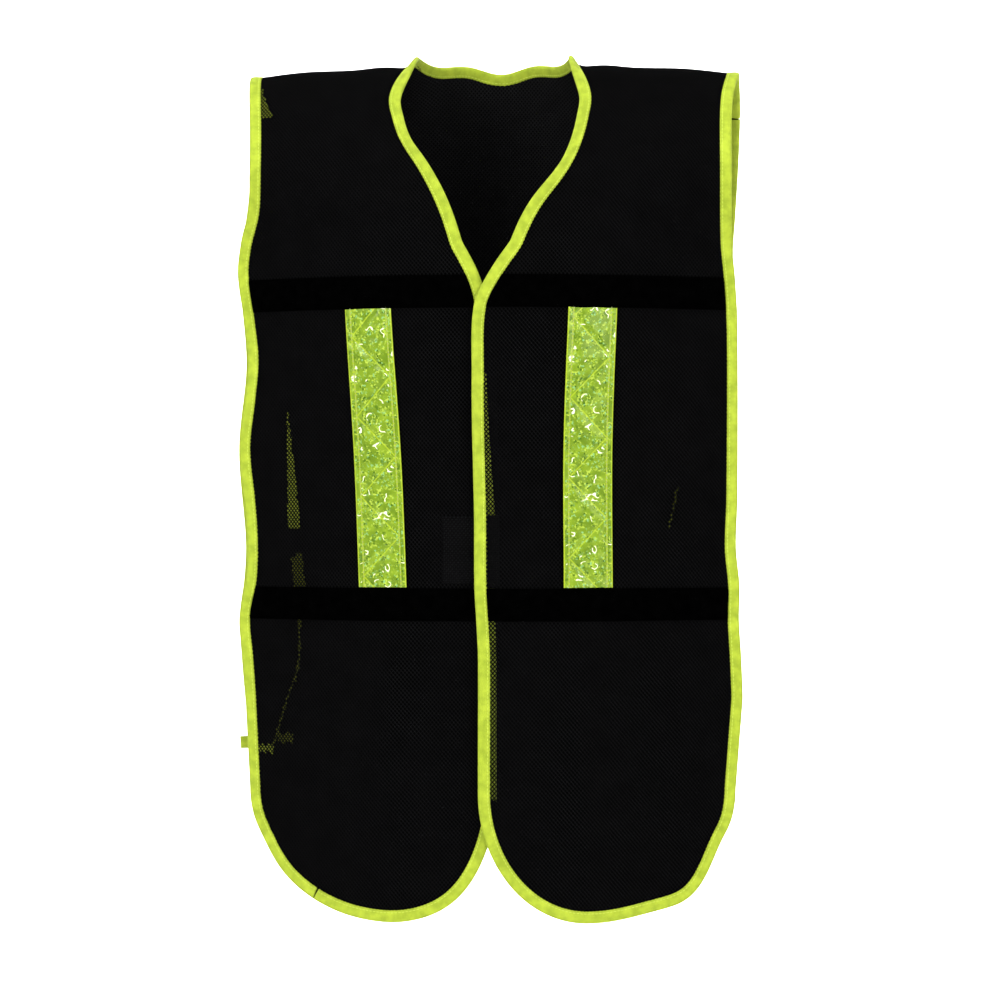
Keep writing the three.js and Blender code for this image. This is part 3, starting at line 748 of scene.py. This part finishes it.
def sealed_lines(look, across, along):
    """1 along the sealed zigzag, borders and edges of a strip."""
    inside = STRIP_WIDTH / 2 - STRIP_BORDER
    wave = look.math("PINGPONG", along, ZIGZAG_STEP)
    line = look.math("SUBTRACT", look.math("MULTIPLY", wave, 2 * inside / ZIGZAG_STEP), inside)
    from_middle = look.math("ABSOLUTE", across)
    from_line = look.math("ABSOLUTE", look.math("SUBTRACT", across, line))
    from_seam = look.math("ABSOLUTE", look.math("SUBTRACT", from_middle, inside))
    from_edge = look.math("SUBTRACT", STRIP_WIDTH / 2, from_middle)
    zigzag = look.ramp(from_line, 0.35, 1.0, start=0.8, end=0.0)
    seam = look.ramp(from_seam, 0.3, 0.9, start=1.0, end=0.0)
    edge = look.ramp(from_edge, 0.4, 1.3, start=1.0, end=0.0)
    return look.math("MAXIMUM", look.math("MAXIMUM", zigzag, seam), edge)


def pvc_look():
    """Glossy prismatic plastic: speckled facets, sealed zigzag lines and borders, and curved glints painted
    in white as highlights.
    """
    look = Look("prismatic_pvc")
    vector, across, along = look.uv()
    cells = look.node("ShaderNodeTexVoronoi", {"Vector": vector, "Scale": 0.8})
    tint = look.node("ShaderNodeSeparateColor", {0: cells.outputs["Color"]}).outputs
    ripple = look.noise(vector, scale=0.16, detail=0.6)
    sealed = sealed_lines(look, across, along)
    puffed = look.math("SUBTRACT", 1.0, sealed)
    color = facet_color(look, vector, tint)
    color = look.blend(look.math("MULTIPLY", sealed, 0.85), color, SEALED)
    # painted highlight: short white curves along the ripple's contours, blended into the colour
    bend = look.math("ABSOLUTE", look.math("SUBTRACT", ripple, 0.5))
    short = look.ramp(look.noise(vector, scale=0.11, detail=0.0), 0.63, 0.69)
    painted_glint = look.math("MULTIPLY", look.ramp(bend, 0.016, 0.04, start=1.0, end=0.0), short)
    color = look.blend(look.math("MULTIPLY", painted_glint, puffed), color, PAINTED_GLINT)
    relief = look.math("MULTIPLY", look.math("MULTIPLY", tint[0], puffed), 0.1)
    look.bump(look.math("ADD", relief, look.math("MULTIPLY", ripple, 0.9)), distance=0.001)
    look.put(look.shader.inputs["Coat Weight"], 0.08)
    look.put(look.shader.inputs["Coat Roughness"], 0.06)
    return look.finish(color, 0.22, shine=0.1)


LOOKS = {
    "front_strand": strand_look("front_strand", *FRONT_STRAND),
    "back_strand": strand_look("back_strand", *BACK_STRAND),
    "front_ground": shade_sheet_look("front_ground"),
    "back_ground": shade_sheet_look("back_ground"),
    "shaded_glimpse": woven_look("shaded_glimpse", TONES["shaded_glimpse"], shine=0.1),
    "dim_shaded_glimpse": woven_look("dim_shaded_glimpse", TONES["dim_shaded_glimpse"], shine=0.0),
    "lining": knit_lining_look(),
    "band": woven_look("band_rib", TONES["band"], shine=0.0, rib=1.3, roughness=1.0, depth=0.0003),
    "tape": woven_look("binding_weave", TONES["tape"], shine=0.2),
    "tape_thread": thread_look("binding_thread", TONES["tape_thread"], shine=0.1),
    "band_thread": thread_look("band_thread", TONES["band_thread"], shine=0.0),
    "strip_thread": thread_look("strip_thread", TONES["strip_thread"], shine=0.1),
    "pvc": pvc_look(),
    "inside_label": patch_look("label_cloth", TONES["inside_label"]),
    "closure_patch": patch_look("closure_pile", TONES["closure_patch"]),
}


# Pieces

def stand_in(name, nodes, points, faces, uv, look):
    """A piece of one look that stands for CAD nodes."""
    piece = mesh_piece(name, points, faces, uv, [LOOKS[look]])
    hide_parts(*nodes)
    return piece


def both_faces(across, along):
    """Cloth coordinates of a sheet with two faces."""
    return np.tile(pairs(across, along).reshape(-1, 2), (2, 1))


def join(parts):
    """One set of points, faces and cloth coordinates from several."""
    starts = np.cumsum([0] + [len(points) for points, _, _ in parts])
    return (
        np.concatenate([points for points, _, _ in parts]),
        np.concatenate([faces + start for (_, faces, _), start in zip(parts, starts)]),
        np.concatenate([uv for _, _, uv in parts]),
    )


# Knit panels

def outline_of(cut):
    """The edge of a cut as a closed ring of (length across, length up)."""
    low, high = (-1, 1) if cut == "back" else (0, 1)
    across, up = np.linspace(low, high, OUTLINE_POINTS), np.linspace(0, 3, OUTLINE_POINTS)
    runs = [(across, 0), (high, up), (across[::-1], 3), (low, up[::-1])]
    ring = np.concatenate([pairs(*cut_point(cut, share, v)) for share, v in runs])
    return pairs(np.interp(ring[:, 0], *FLAT[cut]), length_up(cut, *ring.T))


def inside(points, ring):
    """Which points lie inside a closed ring."""
    hits = np.zeros(len(points), dtype=bool)
    for (ax, ay), (bx, by) in zip(ring, np.roll(ring, -1, axis=0)):
        if ay == by:
            continue
        spans = (points[:, 1] < ay) != (points[:, 1] < by)
        hits ^= spans & (points[:, 0] < ax + (points[:, 1] - ay) * (bx - ax) / (by - ay))
    return hits


def strand_nodes(ring, slant):
    """Points along one family of slanting lines, row by row, that reach over a whole ring."""
    low, high = ring.min(axis=0), ring.max(axis=0)
    rows = np.arange(math.floor(low[1] / ROW_PITCH), math.ceil(high[1] / ROW_PITCH) + 1)
    lean = slant * HOLE_PITCH / 2 * rows
    first = math.floor((low[0] - lean.max()) / HOLE_PITCH)
    last = math.ceil((high[0] - lean.min()) / HOLE_PITCH)
    across = np.arange(first, last + 1)[:, None] * HOLE_PITCH + lean
    return pairs(across, rows * ROW_PITCH)


def strands(cut, ring, slant):
    """Points, quads and cloth coordinates of one family of slanting strands."""
    nodes = strand_nodes(ring, slant)
    lines, rows, _ = nodes.shape
    kept = inside(nodes.reshape(-1, 2), ring).reshape(lines, rows)
    line, row = np.nonzero(kept[:, :-1] & kept[:, 1:])
    first = line * rows + row
    used, index = np.unique(np.concatenate([first, first + 1]), return_inverse=True)
    start, end = index[: len(first)], index[len(first):]
    nodes = nodes.reshape(-1, 2)[used]
    square = np.array([ROW_PITCH, -slant * HOLE_PITCH / 2])
    square *= STRAND_WIDTH / 2 / np.linalg.norm(square)
    flat = np.concatenate([nodes - square, nodes + square])
    offset = np.repeat([-STRAND_TILT / 2, STRAND_TILT / 2], len(nodes)) * slant + STRAND_OFFSETS[slant]
    x = np.interp(flat[:, 0], *FLAT[cut][::-1])
    points = above(cut, x, level_up(cut, x, flat[:, 1]), offset)
    quads = np.stack([start, start + len(nodes), end + len(nodes), end], axis=-1)
    outward = -CUTS[cut][0]
    return points, quads[:, ::outward], flat


def knit(cut, ring):
    """The strands of a panel, open between them."""
    look = LOOKS["back_strand" if cut == "back" else "front_strand"]
    piece = mesh_piece(f"{cut}_knit", *join([strands(cut, ring, slant) for slant in (1, -1)]), [look])
    return piece


def under_strokes(strokes, x, level):
    """Which quads of a grid of (x, level) lie under one of some strokes."""
    corners = pairs(x, height_at(level))
    middle = ((corners[:-1, :-1] + corners[1:, 1:]) / 2).reshape(-1, 2)
    under = np.zeros(len(middle), dtype=bool)
    for *line, half, to_half in strokes:
        share, away = from_line(middle, *line)
        under |= (share > 0) & (share < 1) & (away < mix(half, to_half, share))
    return under


def shade_sheet(cut, share):
    """A dark sheet of painted shade just behind the strands, open in the cut's windows and lime in its
    glimpses, with the knit drawn on its inside."""
    x, level = cut_point(cut, share, SHADE_SHEET_ROWS[:, None])
    points, faces, outward = slab(cut, x, level, SHADE_SHEET[1], SHADE_SHEET[0])
    face_looks = np.ones(len(faces), dtype=int)
    face_looks[:outward] = 0
    looks = [LOOKS["back_ground" if cut == "back" else "front_ground"], LOOKS["lining"]]
    # lime with painted shade where a tie or tape lies behind the knit
    for name, strokes in GLIMPSES[cut].items():
        face_looks[:outward][under_strokes(strokes, x, level)] = len(looks)
        looks.append(LOOKS[name])
    kept = np.ones(len(faces), dtype=bool)
    kept[: 2 * outward] = np.tile(~under_strokes(WINDOWS[cut], x, level), 2)
    uv = both_faces(np.interp(x, *FLAT[cut]), length_up(cut, x, level))
    piece = mesh_piece(f"{cut}_ground", points, faces[kept], uv, looks, face_looks[kept])
    return piece


def declare_panel(piece, cut, others):
    """Hides the CAD part of a panel that the pieces stand in for."""
    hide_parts(f"{cut}_mesh")


for cut_name in ("front_right", "front_left"):
    cut_ring = outline_of(cut_name)
    declare_panel(knit(cut_name, cut_ring), cut_name, [shade_sheet(cut_name, FRONT_SHARES)])
back_ring = outline_of("back")
declare_panel(shade_sheet("back", BACK_SHARES), "back", [knit("back", back_ring)])


# Shoulder seams: a narrow dark tape over the line where a front meets the back

SEAM_DROPS = (3.4, 1.7, 0.2)
SEAM_OFFSETS = (0.5, -0.7)
SEAM_TUCK = 1
SEAM_COLUMNS = 90


def shoulder_seam(side):
    cut = wearer_side(side)
    within = TAPE_WIDTH - SEAM_TUCK
    x = side * np.linspace(NECK_HALF_WIDTH + within, SHOULDER_HALF_WIDTH - within, SEAM_COLUMNS)
    lines = [(cut, drop) for drop in SEAM_DROPS] + [("back", drop) for drop in SEAM_DROPS[::-1]]
    layers = [
        np.stack([above(part, x, np.full_like(x, TOP_LEVEL - drop), offset) for part, drop in lines])
        for offset in SEAM_OFFSETS
    ]
    points, faces, _ = between(*layers)
    flat = np.cumsum([0] + [drop for _, drop in lines[1:]])
    uv = both_faces(x[None, :], flat[:, None])
    name = f"shoulder_seam_{cut.replace('front_', '')}"
    piece = mesh_piece(name, points, faces, uv, [LOOKS["back_strand"]])


for seam_side in (-1, 1):
    shoulder_seam(seam_side)


# Stitches: low capsules laid along runs of points

# Rows of (place along the stitch as a share of its length, thickness as a share of its own)
STITCH_RINGS = [(-0.5, 0.15), (-0.32, 1.0), (0.32, 1.0), (0.5, 0.15)]
STITCH_SIDES = 4
STITCH_LOOK_AHEAD = 0.5

# Pitch, length and radius of the stitches, by what they sew
STITCHES = {"binding": (3.0, 2.3, 0.32), "band": (3.2, 2.5, 0.3), "strip": (3.4, 2.6, 0.3)}


def stitch_row(points, normals, pitch, length, radius):
    """Points, quads and cloth coordinates of stitches along a run."""
    run = run_of(points)
    at = np.arange(pitch / 2, run[-1], pitch)
    spot = on_run(at, run, points)
    up = unit(on_run(at, run, normals))
    along = unit(on_run(at + STITCH_LOOK_AHEAD, run, points) - on_run(at - STITCH_LOOK_AHEAD, run, points))
    wide = np.cross(up, along)
    turn = np.arange(STITCH_SIDES) * 2 * math.pi / STITCH_SIDES
    spokes = np.cos(turn)[:, None, None] * wide + np.sin(turn)[:, None, None] * up
    rings = [spot + along * length * reach + radius * share * spokes for reach, share in STITCH_RINGS]
    mesh = np.stack(rings).transpose(2, 0, 1, 3).reshape(-1, 3)
    each = len(STITCH_RINGS) * STITCH_SIDES
    quads = grid_quads(len(STITCH_RINGS), STITCH_SIDES, wrap=True)
    faces = (quads[None] + (np.arange(len(at)) * each)[:, None, None]).reshape(-1, 4)
    reach = np.repeat([ring[0] for ring in STITCH_RINGS], STITCH_SIDES) * length
    uv = np.stack([at[:, None] + reach, np.tile(turn, len(STITCH_RINGS)) + 0 * at[:, None]], axis=-1)
    return mesh, faces, uv.reshape(-1, 2)


def stitches(name, rows, look):
    """One piece from rows of stitches."""
    thread = mesh_piece(f"{name}_stitches", *join(rows), [LOOKS[look]])


# Binding: a rolled tape over the edge, swept along stations a millimetre apart

# Rows of (distance in from the cloth edge as a share of the width, offset from the cloth)
TAPE_SECTION = [
    (0.95, 0.5), (0.92, 1.05), (0.81, 1.2), (0.73, 1.1), (0.57, 1.55), (0.33, 1.85), (0.1, 1.9),
    (-0.08, 1.6), (-0.15, 0.85), (-0.17, 0.0),
]
TAPE_STEP = 1.0
EDGE_SMOOTHING = 3
TAPE_SMOOTHING = 6
SERRATION = 0.28
SERRATED_FROM = 0.9
SEAM_SHARE = 0.74
SEAM_OFFSET = 1.15


def resample(cut, x, level, step):
    """(x, level) at even steps of length along a run."""
    run = run_of(on_cut(cut, x, level))
    at = np.linspace(0, run[-1], max(2, int(round(run[-1] / step)) + 1))
    return np.interp(at, run, x), np.interp(at, run, level)


def dot(a, b):
    return np.sum(a * b, axis=-1)


def edge_run(cut, x, level):
    """Edge points, points one tape width in and both normals, for a run that keeps the cloth on its left."""
    x, level = resample(cut, x, level, TAPE_STEP)
    edge = on_cut(cut, x, level)
    along = unit(np.gradient(edge, axis=0))
    per_x, per_level = slopes_of(cut, x, level)
    normal = normal_of(cut, x, level)
    square = np.cross(normal, along) * TAPE_WIDTH
    xx, xl, ll = dot(per_x, per_x), dot(per_x, per_level), dot(per_level, per_level)
    bx, bl = dot(per_x, square), dot(per_level, square)
    area = xx * ll - xl * xl
    in_x, in_level = x + (bx * ll - bl * xl) / area, level + (bl * xx - bx * xl) / area
    return edge, on_cut(cut, in_x, in_level), normal, normal_of(cut, in_x, in_level)


def smooth_run(values, reach):
    """Values averaged along a run, so that a tape turns corners without a kink."""
    kernel = np.hanning(2 * reach + 3)[1:-1]
    padded = np.concatenate([np.repeat(values[:1], reach, 0), values, np.repeat(values[-1:], reach, 0)])
    columns = [np.convolve(padded[:, k], kernel / kernel.sum(), mode="valid") for k in range(values.shape[1])]
    return np.stack(columns, axis=-1)


def tube_quads(count, size):
    """Quads along a flattened tube of rings, and across its two ends."""
    first = np.arange(size)[::-1]
    last = np.arange(size) + size * (count - 1)
    ends = [
        [ring[i], ring[i + 1], ring[size - 2 - i], ring[size - 1 - i]]
        for ring in (first, last) for i in range((size - 1) // 2)
    ]
    return np.concatenate([grid_quads(count, size, wrap=True), ends])


def binding(name, runs, nodes):
    """The tape along some runs, with a row of stitches on each of its faces."""
    edge, within, edge_up, in_up = (np.concatenate(part) for part in zip(*(edge_run(*run) for run in runs)))
    edge, within = smooth_run(edge, EDGE_SMOOTHING), smooth_run(within, TAPE_SMOOTHING)
    edge_up, in_up = unit(smooth_run(edge_up, TAPE_SMOOTHING)), unit(smooth_run(in_up, TAPE_SMOOTHING))
    run = run_of(edge)
    outward = unit(edge - within)
    wave = SERRATION * np.sin(2 * math.pi * run / STITCHES["binding"][0])
    section = TAPE_SECTION + [(share, -offset) for share, offset in TAPE_SECTION[-2::-1]]
    girth = run_of(np.array(section) * (TAPE_WIDTH, 1))
    rings = []
    for share, offset in section:
        up = unit(mix(edge_up, in_up, np.clip(share, 0, 1)))
        base = mix(edge, within, share) if share > 0 else edge - outward * share * TAPE_WIDTH
        ragged = outward * (wave * (share > SERRATED_FROM))[:, None]
        rings.append(base + up * offset - ragged)
    points = np.stack(rings, axis=1).reshape(-1, 3)
    uv = pairs(run[:, None], girth).reshape(-1, 2)
    stand_in(name, nodes, points, tube_quads(len(edge), len(section)), uv, "tape")
    seam = mix(edge, within, SEAM_SHARE)
    seam_up = unit(mix(edge_up, in_up, SEAM_SHARE))
    rows = [
        stitch_row(seam + seam_up * sign * SEAM_OFFSET, seam_up * sign, *STITCHES["binding"])
        for sign in (1, -1)
    ]
    stitches(name, rows, "tape_thread")


def edge_points(cut, share, v):
    x, level = np.broadcast_arrays(*cut_point(cut, share, v))
    return cut, x, level


UP = np.linspace(0, 3, 600)
ACROSS = np.linspace(0, 1, 400)
BACK_ACROSS = np.linspace(1, -1, 800)
NECK_SHARE = NECK_HALF_WIDTH / SHOULDER_HALF_WIDTH
NECK = NECK_SHARE * np.sin(np.linspace(-math.pi / 2, math.pi / 2, 400))

# Where the tape's two lengths meet: on the right hem, by share across, and at the left back armhole, by v
HEM_JOIN = 0.63
ARMHOLE_JOIN = 2.55
JOIN_GAP = 0.002

binding(
    "edge_binding_front",
    [
        edge_points("front_right", np.linspace(HEM_JOIN, 0, 300), 0),
        edge_points("front_right", 0, UP),
        edge_points("back", NECK, 3),
        edge_points("front_left", 0, UP[::-1]),
        edge_points("front_left", ACROSS, 0),
        edge_points("front_left", 1, UP),
        edge_points("back", 1, np.linspace(3, ARMHOLE_JOIN, 120)),
    ],
    ["binding_front"],
)
binding(
    "edge_binding_back",
    [
        edge_points("back", 1, np.linspace(ARMHOLE_JOIN - JOIN_GAP, 0, 480)),
        edge_points("back", BACK_ACROSS, 0),
        edge_points("back", -1, UP),
        edge_points("front_right", 1, UP[::-1]),
        edge_points("front_right", np.linspace(1, HEM_JOIN, 100), 0),
    ],
    ["binding_back"],
)


# Bands: ribbed cloth tape sewn along both edges

BAND_GRID = (12, 260)
BAND_END = 8.3
BAND_BASE = 0.45
BAND_HEIGHT = 1.7
BAND_CROWN = {"drop": 0.5, "sharpness": 6}
BAND_SEAM = 2.2


def band_grid(cut, bottom, top):
    """x and height over a band, whose ends stop at the binding."""
    low = -1 if cut == "back" else 0
    heights = np.linspace(bottom, top, BAND_GRID[0])
    z, share = np.meshgrid(heights, np.linspace(low, 1, BAND_GRID[1]), indexing="ij")
    first, last = (X_AT[cut](np.full_like(z[:, :1], end), z[:, :1]) for end in (low, 1))
    toward = np.sign(last - first)
    lean = np.gradient(first[:, 0], heights)[:, None]
    start = first + toward * BAND_END * np.hypot(1, lean)
    return mix(start, last - toward * BAND_END, (share - low) / (1 - low)), z


def band(name, cut, bottom, top):
    """A band across a cut, with a row of stitches along each edge."""
    x, z = band_grid(cut, bottom, top)
    across = (z - bottom) / (top - bottom)
    crown = BAND_HEIGHT - BAND_CROWN["drop"] * np.abs(2 * across - 1) ** BAND_CROWN["sharpness"]
    points, faces, _ = slab(cut, x, level_for(x, z), crown, BAND_BASE)
    uv = both_faces(np.interp(x, *FLAT[cut]), z)
    stand_in(f"{name}_tape", [name], points, faces, uv, "band")
    rows = []
    for at in (bottom + BAND_SEAM, top - BAND_SEAM):
        line_x = np.array([np.interp(at, z[:, k], x[:, k]) for k in range(x.shape[1])])
        line_level = level_for(line_x, at)
        line = above(cut, line_x, line_level, BAND_HEIGHT)
        rows.append(stitch_row(line, normal_of(cut, line_x, line_level), *STITCHES["band"]))
    stitches(name, rows, "band_thread")


for band_name, (band_bottom, band_top) in BANDS.items():
    for cut_name in CUTS:
        band(f"{band_name}_{cut_name.replace('front_', '')}", cut_name, band_bottom, band_top)


# Reflective strips: puffed plastic between sealed borders and zigzag lines

STRIP_GRID = (200, 36)
STRIP_BASE = 1.0
STRIP_WALL = 0.9
STRIP_GAP = 0.6
STRIP_INSIDE = STRIP_WIDTH / 2 - STRIP_BORDER
PUFF = {"rise": 1.1, "run": 7}
BORDER = {"rise": 0.35, "run": 1.6}
CREASE = {"rise": 0.25, "run": 3, "first": (5.3, 4.1), "second": (8.7, 6.3)}
THREAD_LIFT = 0.05


def strip_relief(across, down):
    """How far a strip's face stands off its back, by places across and down it."""
    wave = ZIGZAG_STEP - np.abs(down % (2 * ZIGZAG_STEP) - ZIGZAG_STEP)
    from_line = np.abs(across - (wave * 2 * STRIP_INSIDE / ZIGZAG_STEP - STRIP_INSIDE))
    from_seam = np.maximum(0, STRIP_INSIDE - np.abs(across))
    puff = PUFF["rise"] * ease(0, PUFF["run"], np.minimum(from_line, from_seam))
    (down_1, across_1), (down_2, across_2) = CREASE["first"], CREASE["second"]
    crease = np.sin(down / down_1 + across / across_1) * np.sin(down / down_2 - across / across_2)
    crease = CREASE["rise"] * crease * ease(0, CREASE["run"], from_seam)
    border = BORDER["rise"] * ease(0, BORDER["run"], np.abs(np.abs(across) - STRIP_INSIDE))
    return STRIP_WALL + puff + border * (np.abs(across) > STRIP_INSIDE) + crease


def strip(name, side, top, middle, bottom, start):
    """A strip between the bands, with a row of stitches along each border."""
    cut = wearer_side(side)
    low, high = BANDS["waist_band"][1] + STRIP_GAP, BANDS["chest_band"][0] - STRIP_GAP
    line = [(low, bottom), ((low + high) / 2, middle), (high, top)]
    heights = np.linspace(low, high, STRIP_GRID[0])
    z, across = np.meshgrid(
        heights, np.linspace(-STRIP_WIDTH / 2, STRIP_WIDTH / 2, STRIP_GRID[1]), indexing="ij"
    )
    mid = side * through(line, z)
    level = level_for(mid, z)
    stretch = np.linalg.norm(slopes_of(cut, mid, level)[0], axis=-1)
    down = high - z - start
    outer = STRIP_BASE + strip_relief(across, down)
    points, faces, _ = slab(cut, mid + across / stretch, level, outer, STRIP_BASE)
    stand_in(f"{name}_pvc", [name], points, faces, both_faces(across, down), "pvc")
    rows = []
    for column in (-STRIP_INSIDE, STRIP_INSIDE):
        seam_x = mid[:, 0] + column / stretch[:, 0]
        seam = above(cut, seam_x, level[:, 0], STRIP_BASE + STRIP_WALL + THREAD_LIFT)
        rows.append(stitch_row(seam, normal_of(cut, seam_x, level[:, 0]), *STITCHES["strip"]))
    stitches(name, rows, "strip_thread")


for strip_name, strip_row in STRIPS.items():
    strip(strip_name, *strip_row)


# Ribbon ties, which hang free from the taped back edge

RIBBON_WALL = 0.9
RIBBON_FULLNESS = 0.9
UNDER_TAPE = -3.55
RIBBON_STEP = 2.0
ROUTE_SAMPLES = 2000

# Rows of (share of the width, share of the wall): one face of the ribbon, slightly hollow
RIBBON_FACE = [(-0.5, -0.5), (-0.25, -0.4), (0, -0.35), (0.25, -0.4), (0.5, -0.5)]
RIBBON_SECTION = [(across, offset + RIBBON_FULLNESS) for across, offset in RIBBON_FACE] + RIBBON_FACE[::-1]


def route_points(points, step):
    """A smooth line through points with a turn each: the line, its turns and its run, at even steps."""
    points = np.array(points, dtype=float)
    gaps = np.linalg.norm(np.diff(points[:, :3], axis=0), axis=-1)
    chord = np.concatenate([[0], np.cumsum(np.sqrt(gaps))])
    fine = np.linspace(0, chord[-1], ROUTE_SAMPLES)
    line = np.stack([through(list(zip(chord, points[:, k])), fine) for k in range(4)], axis=-1)
    run = run_of(line[:, :3])
    at = np.linspace(0, run[-1], int(run[-1] / step) + 1)
    line = on_run(at, run, line)
    return line[:, :3], np.radians(line[:, 3:]), at


def tie(name, sewn, route):
    """A ribbon from under the back's tape along its route."""
    x = np.full(2, sewn[0])
    level = level_for(x, sewn[1]) - (0, TAPE_WIDTH)
    held = above("back", x, level, UNDER_TAPE)
    path, turn, run = route_points([*((*point, 0) for point in held), *route], RIBBON_STEP)
    along = unit(np.gradient(path, axis=0))
    facing = normal_of("back", x[:1], level[:1])[0]
    flat = unit(np.cross(along, facing))
    wide = flat * np.cos(turn) + np.cross(along, flat) * np.sin(turn)
    thick = np.cross(wide, along)
    rings = [path + wide * a * RIBBON_WIDTH + thick * b * RIBBON_WALL for a, b in RIBBON_SECTION]
    points = np.stack(rings, axis=1).reshape(-1, 3)
    across = np.array([a * RIBBON_WIDTH for a, _ in RIBBON_SECTION])
    uv = pairs(run[:, None], across).reshape(-1, 2)
    faces = tube_quads(len(path), len(RIBBON_SECTION))
    piece = stand_in(f"{name}_ribbon", [name], points, faces, uv, "tape")


for tie_name, tie_row in TIES.items():
    tie(tie_name, **tie_row)


# Patches on the inside of the fronts: a blank label, and one half of a closure

PATCH_OFFSETS = (-1.2, -1.9)
PATCH_GRID = (26, 14)


def patch(name, cut, left, right, bottom, top):
    x, z = np.meshgrid(np.linspace(left, right, PATCH_GRID[1]), np.linspace(bottom, top, PATCH_GRID[0]))
    points, faces, _ = slab(cut, x, level_at(z), *PATCH_OFFSETS)
    stand_in(f"{name}_cloth", [name], points, faces, both_faces(x, z), name)


for patch_name, patch_row in PATCHES.items():
    patch(patch_name, *patch_row)


# Studio: pale sweep, soft lights, and the camera at the photo's angle, in metres

FLOOR_Z = -1.0
SWEEP = {"wall": 4.0, "bend": 0.8, "reach": 6.0, "height": 5.0, "steps": 16}
SKY_STRENGTH = 0.9
CAMERA = {"azimuth": math.radians(4.6), "distance": 2.8, "height": -0.342, "shift": 0.0048, "lens": 124.65}

# Lights: place, target, size and power
LIGHTS = {
    "key": ((-1.4, -2.0, 0.9), (0, 0, -0.3), (1.2, 1.2), 60),
    "fill": ((1.7, -1.8, 0.3), (0, 0, -0.35), (1.4, 1.4), 40),
    "top": ((0.0, -0.3, 1.6), (0, 0, -0.2), (1.6, 1.0), 25),
    "backdrop": ((0.0, 2.6, 1.9), (0, 4.0, -0.2), (4.0, 1.0), 300),
}


def studio_sweep():
    """A pale floor that curves up into a wall behind the vest."""
    look = Look("pale_studio")
    vector = look.node("ShaderNodeTexCoord", {}).outputs["Object"]
    pale = look.finish(look.blend(look.noise(vector, scale=3.0), *TONES["studio"]), 0.9)
    turn = np.linspace(0, math.pi / 2, SWEEP["steps"])
    wall, bend = SWEEP["wall"], SWEEP["bend"]
    curve = [(wall - bend + bend * math.sin(t), bend - bend * math.cos(t)) for t in turn]
    profile = [(-SWEEP["reach"], 0.0), *curve, (wall, SWEEP["height"])]
    points = [(x, y, FLOOR_Z + z) for x in (-SWEEP["reach"], SWEEP["reach"]) for y, z in profile]
    count = len(profile)
    faces = [[i, i + 1, count + i + 1, count + i] for i in range(count - 1)]
    mesh = bpy.data.meshes.new("studio_sweep")
    mesh.from_pydata(points, [], faces)
    mesh.materials.append(pale)
    mesh.shade_smooth()
    placed("studio_sweep", mesh)


def aim(thing, target):
    thing.rotation_euler = (Vector(target) - Vector(thing.location)).to_track_quat("-Z", "Y").to_euler()


def area_light(name, location, target, size, power):
    data = bpy.data.lights.new(name, "AREA")
    data.shape = "RECTANGLE"
    data.size, data.size_y = size
    data.energy = power
    light = placed(name, data)
    light.location = location
    aim(light, target)


def photo_camera():
    right = np.array([math.cos(CAMERA["azimuth"]), math.sin(CAMERA["azimuth"])])
    ahead = np.array([-right[1], right[0]])
    eye = right * CAMERA["shift"] - ahead * CAMERA["distance"]
    data = bpy.data.cameras.new("photo_camera")
    data.lens = CAMERA["lens"]
    camera = placed("photo_camera", data)
    camera.location = (*eye, CAMERA["height"])
    aim(camera, (*(eye + ahead), CAMERA["height"]))
    return camera


studio_sweep()
for light_name, light_row in LIGHTS.items():
    area_light(light_name, *light_row)

world = bpy.data.worlds.new("soft_sky")
world.use_nodes = True
sky = world.node_tree.nodes["Background"].inputs
sky["Color"].default_value = (1, 1, 1, 1)
sky["Strength"].default_value = SKY_STRENGTH
bpy.context.scene.world = world

bpy.context.scene.camera = photo_camera()
bpy.context.scene.view_settings.view_transform = "Standard"
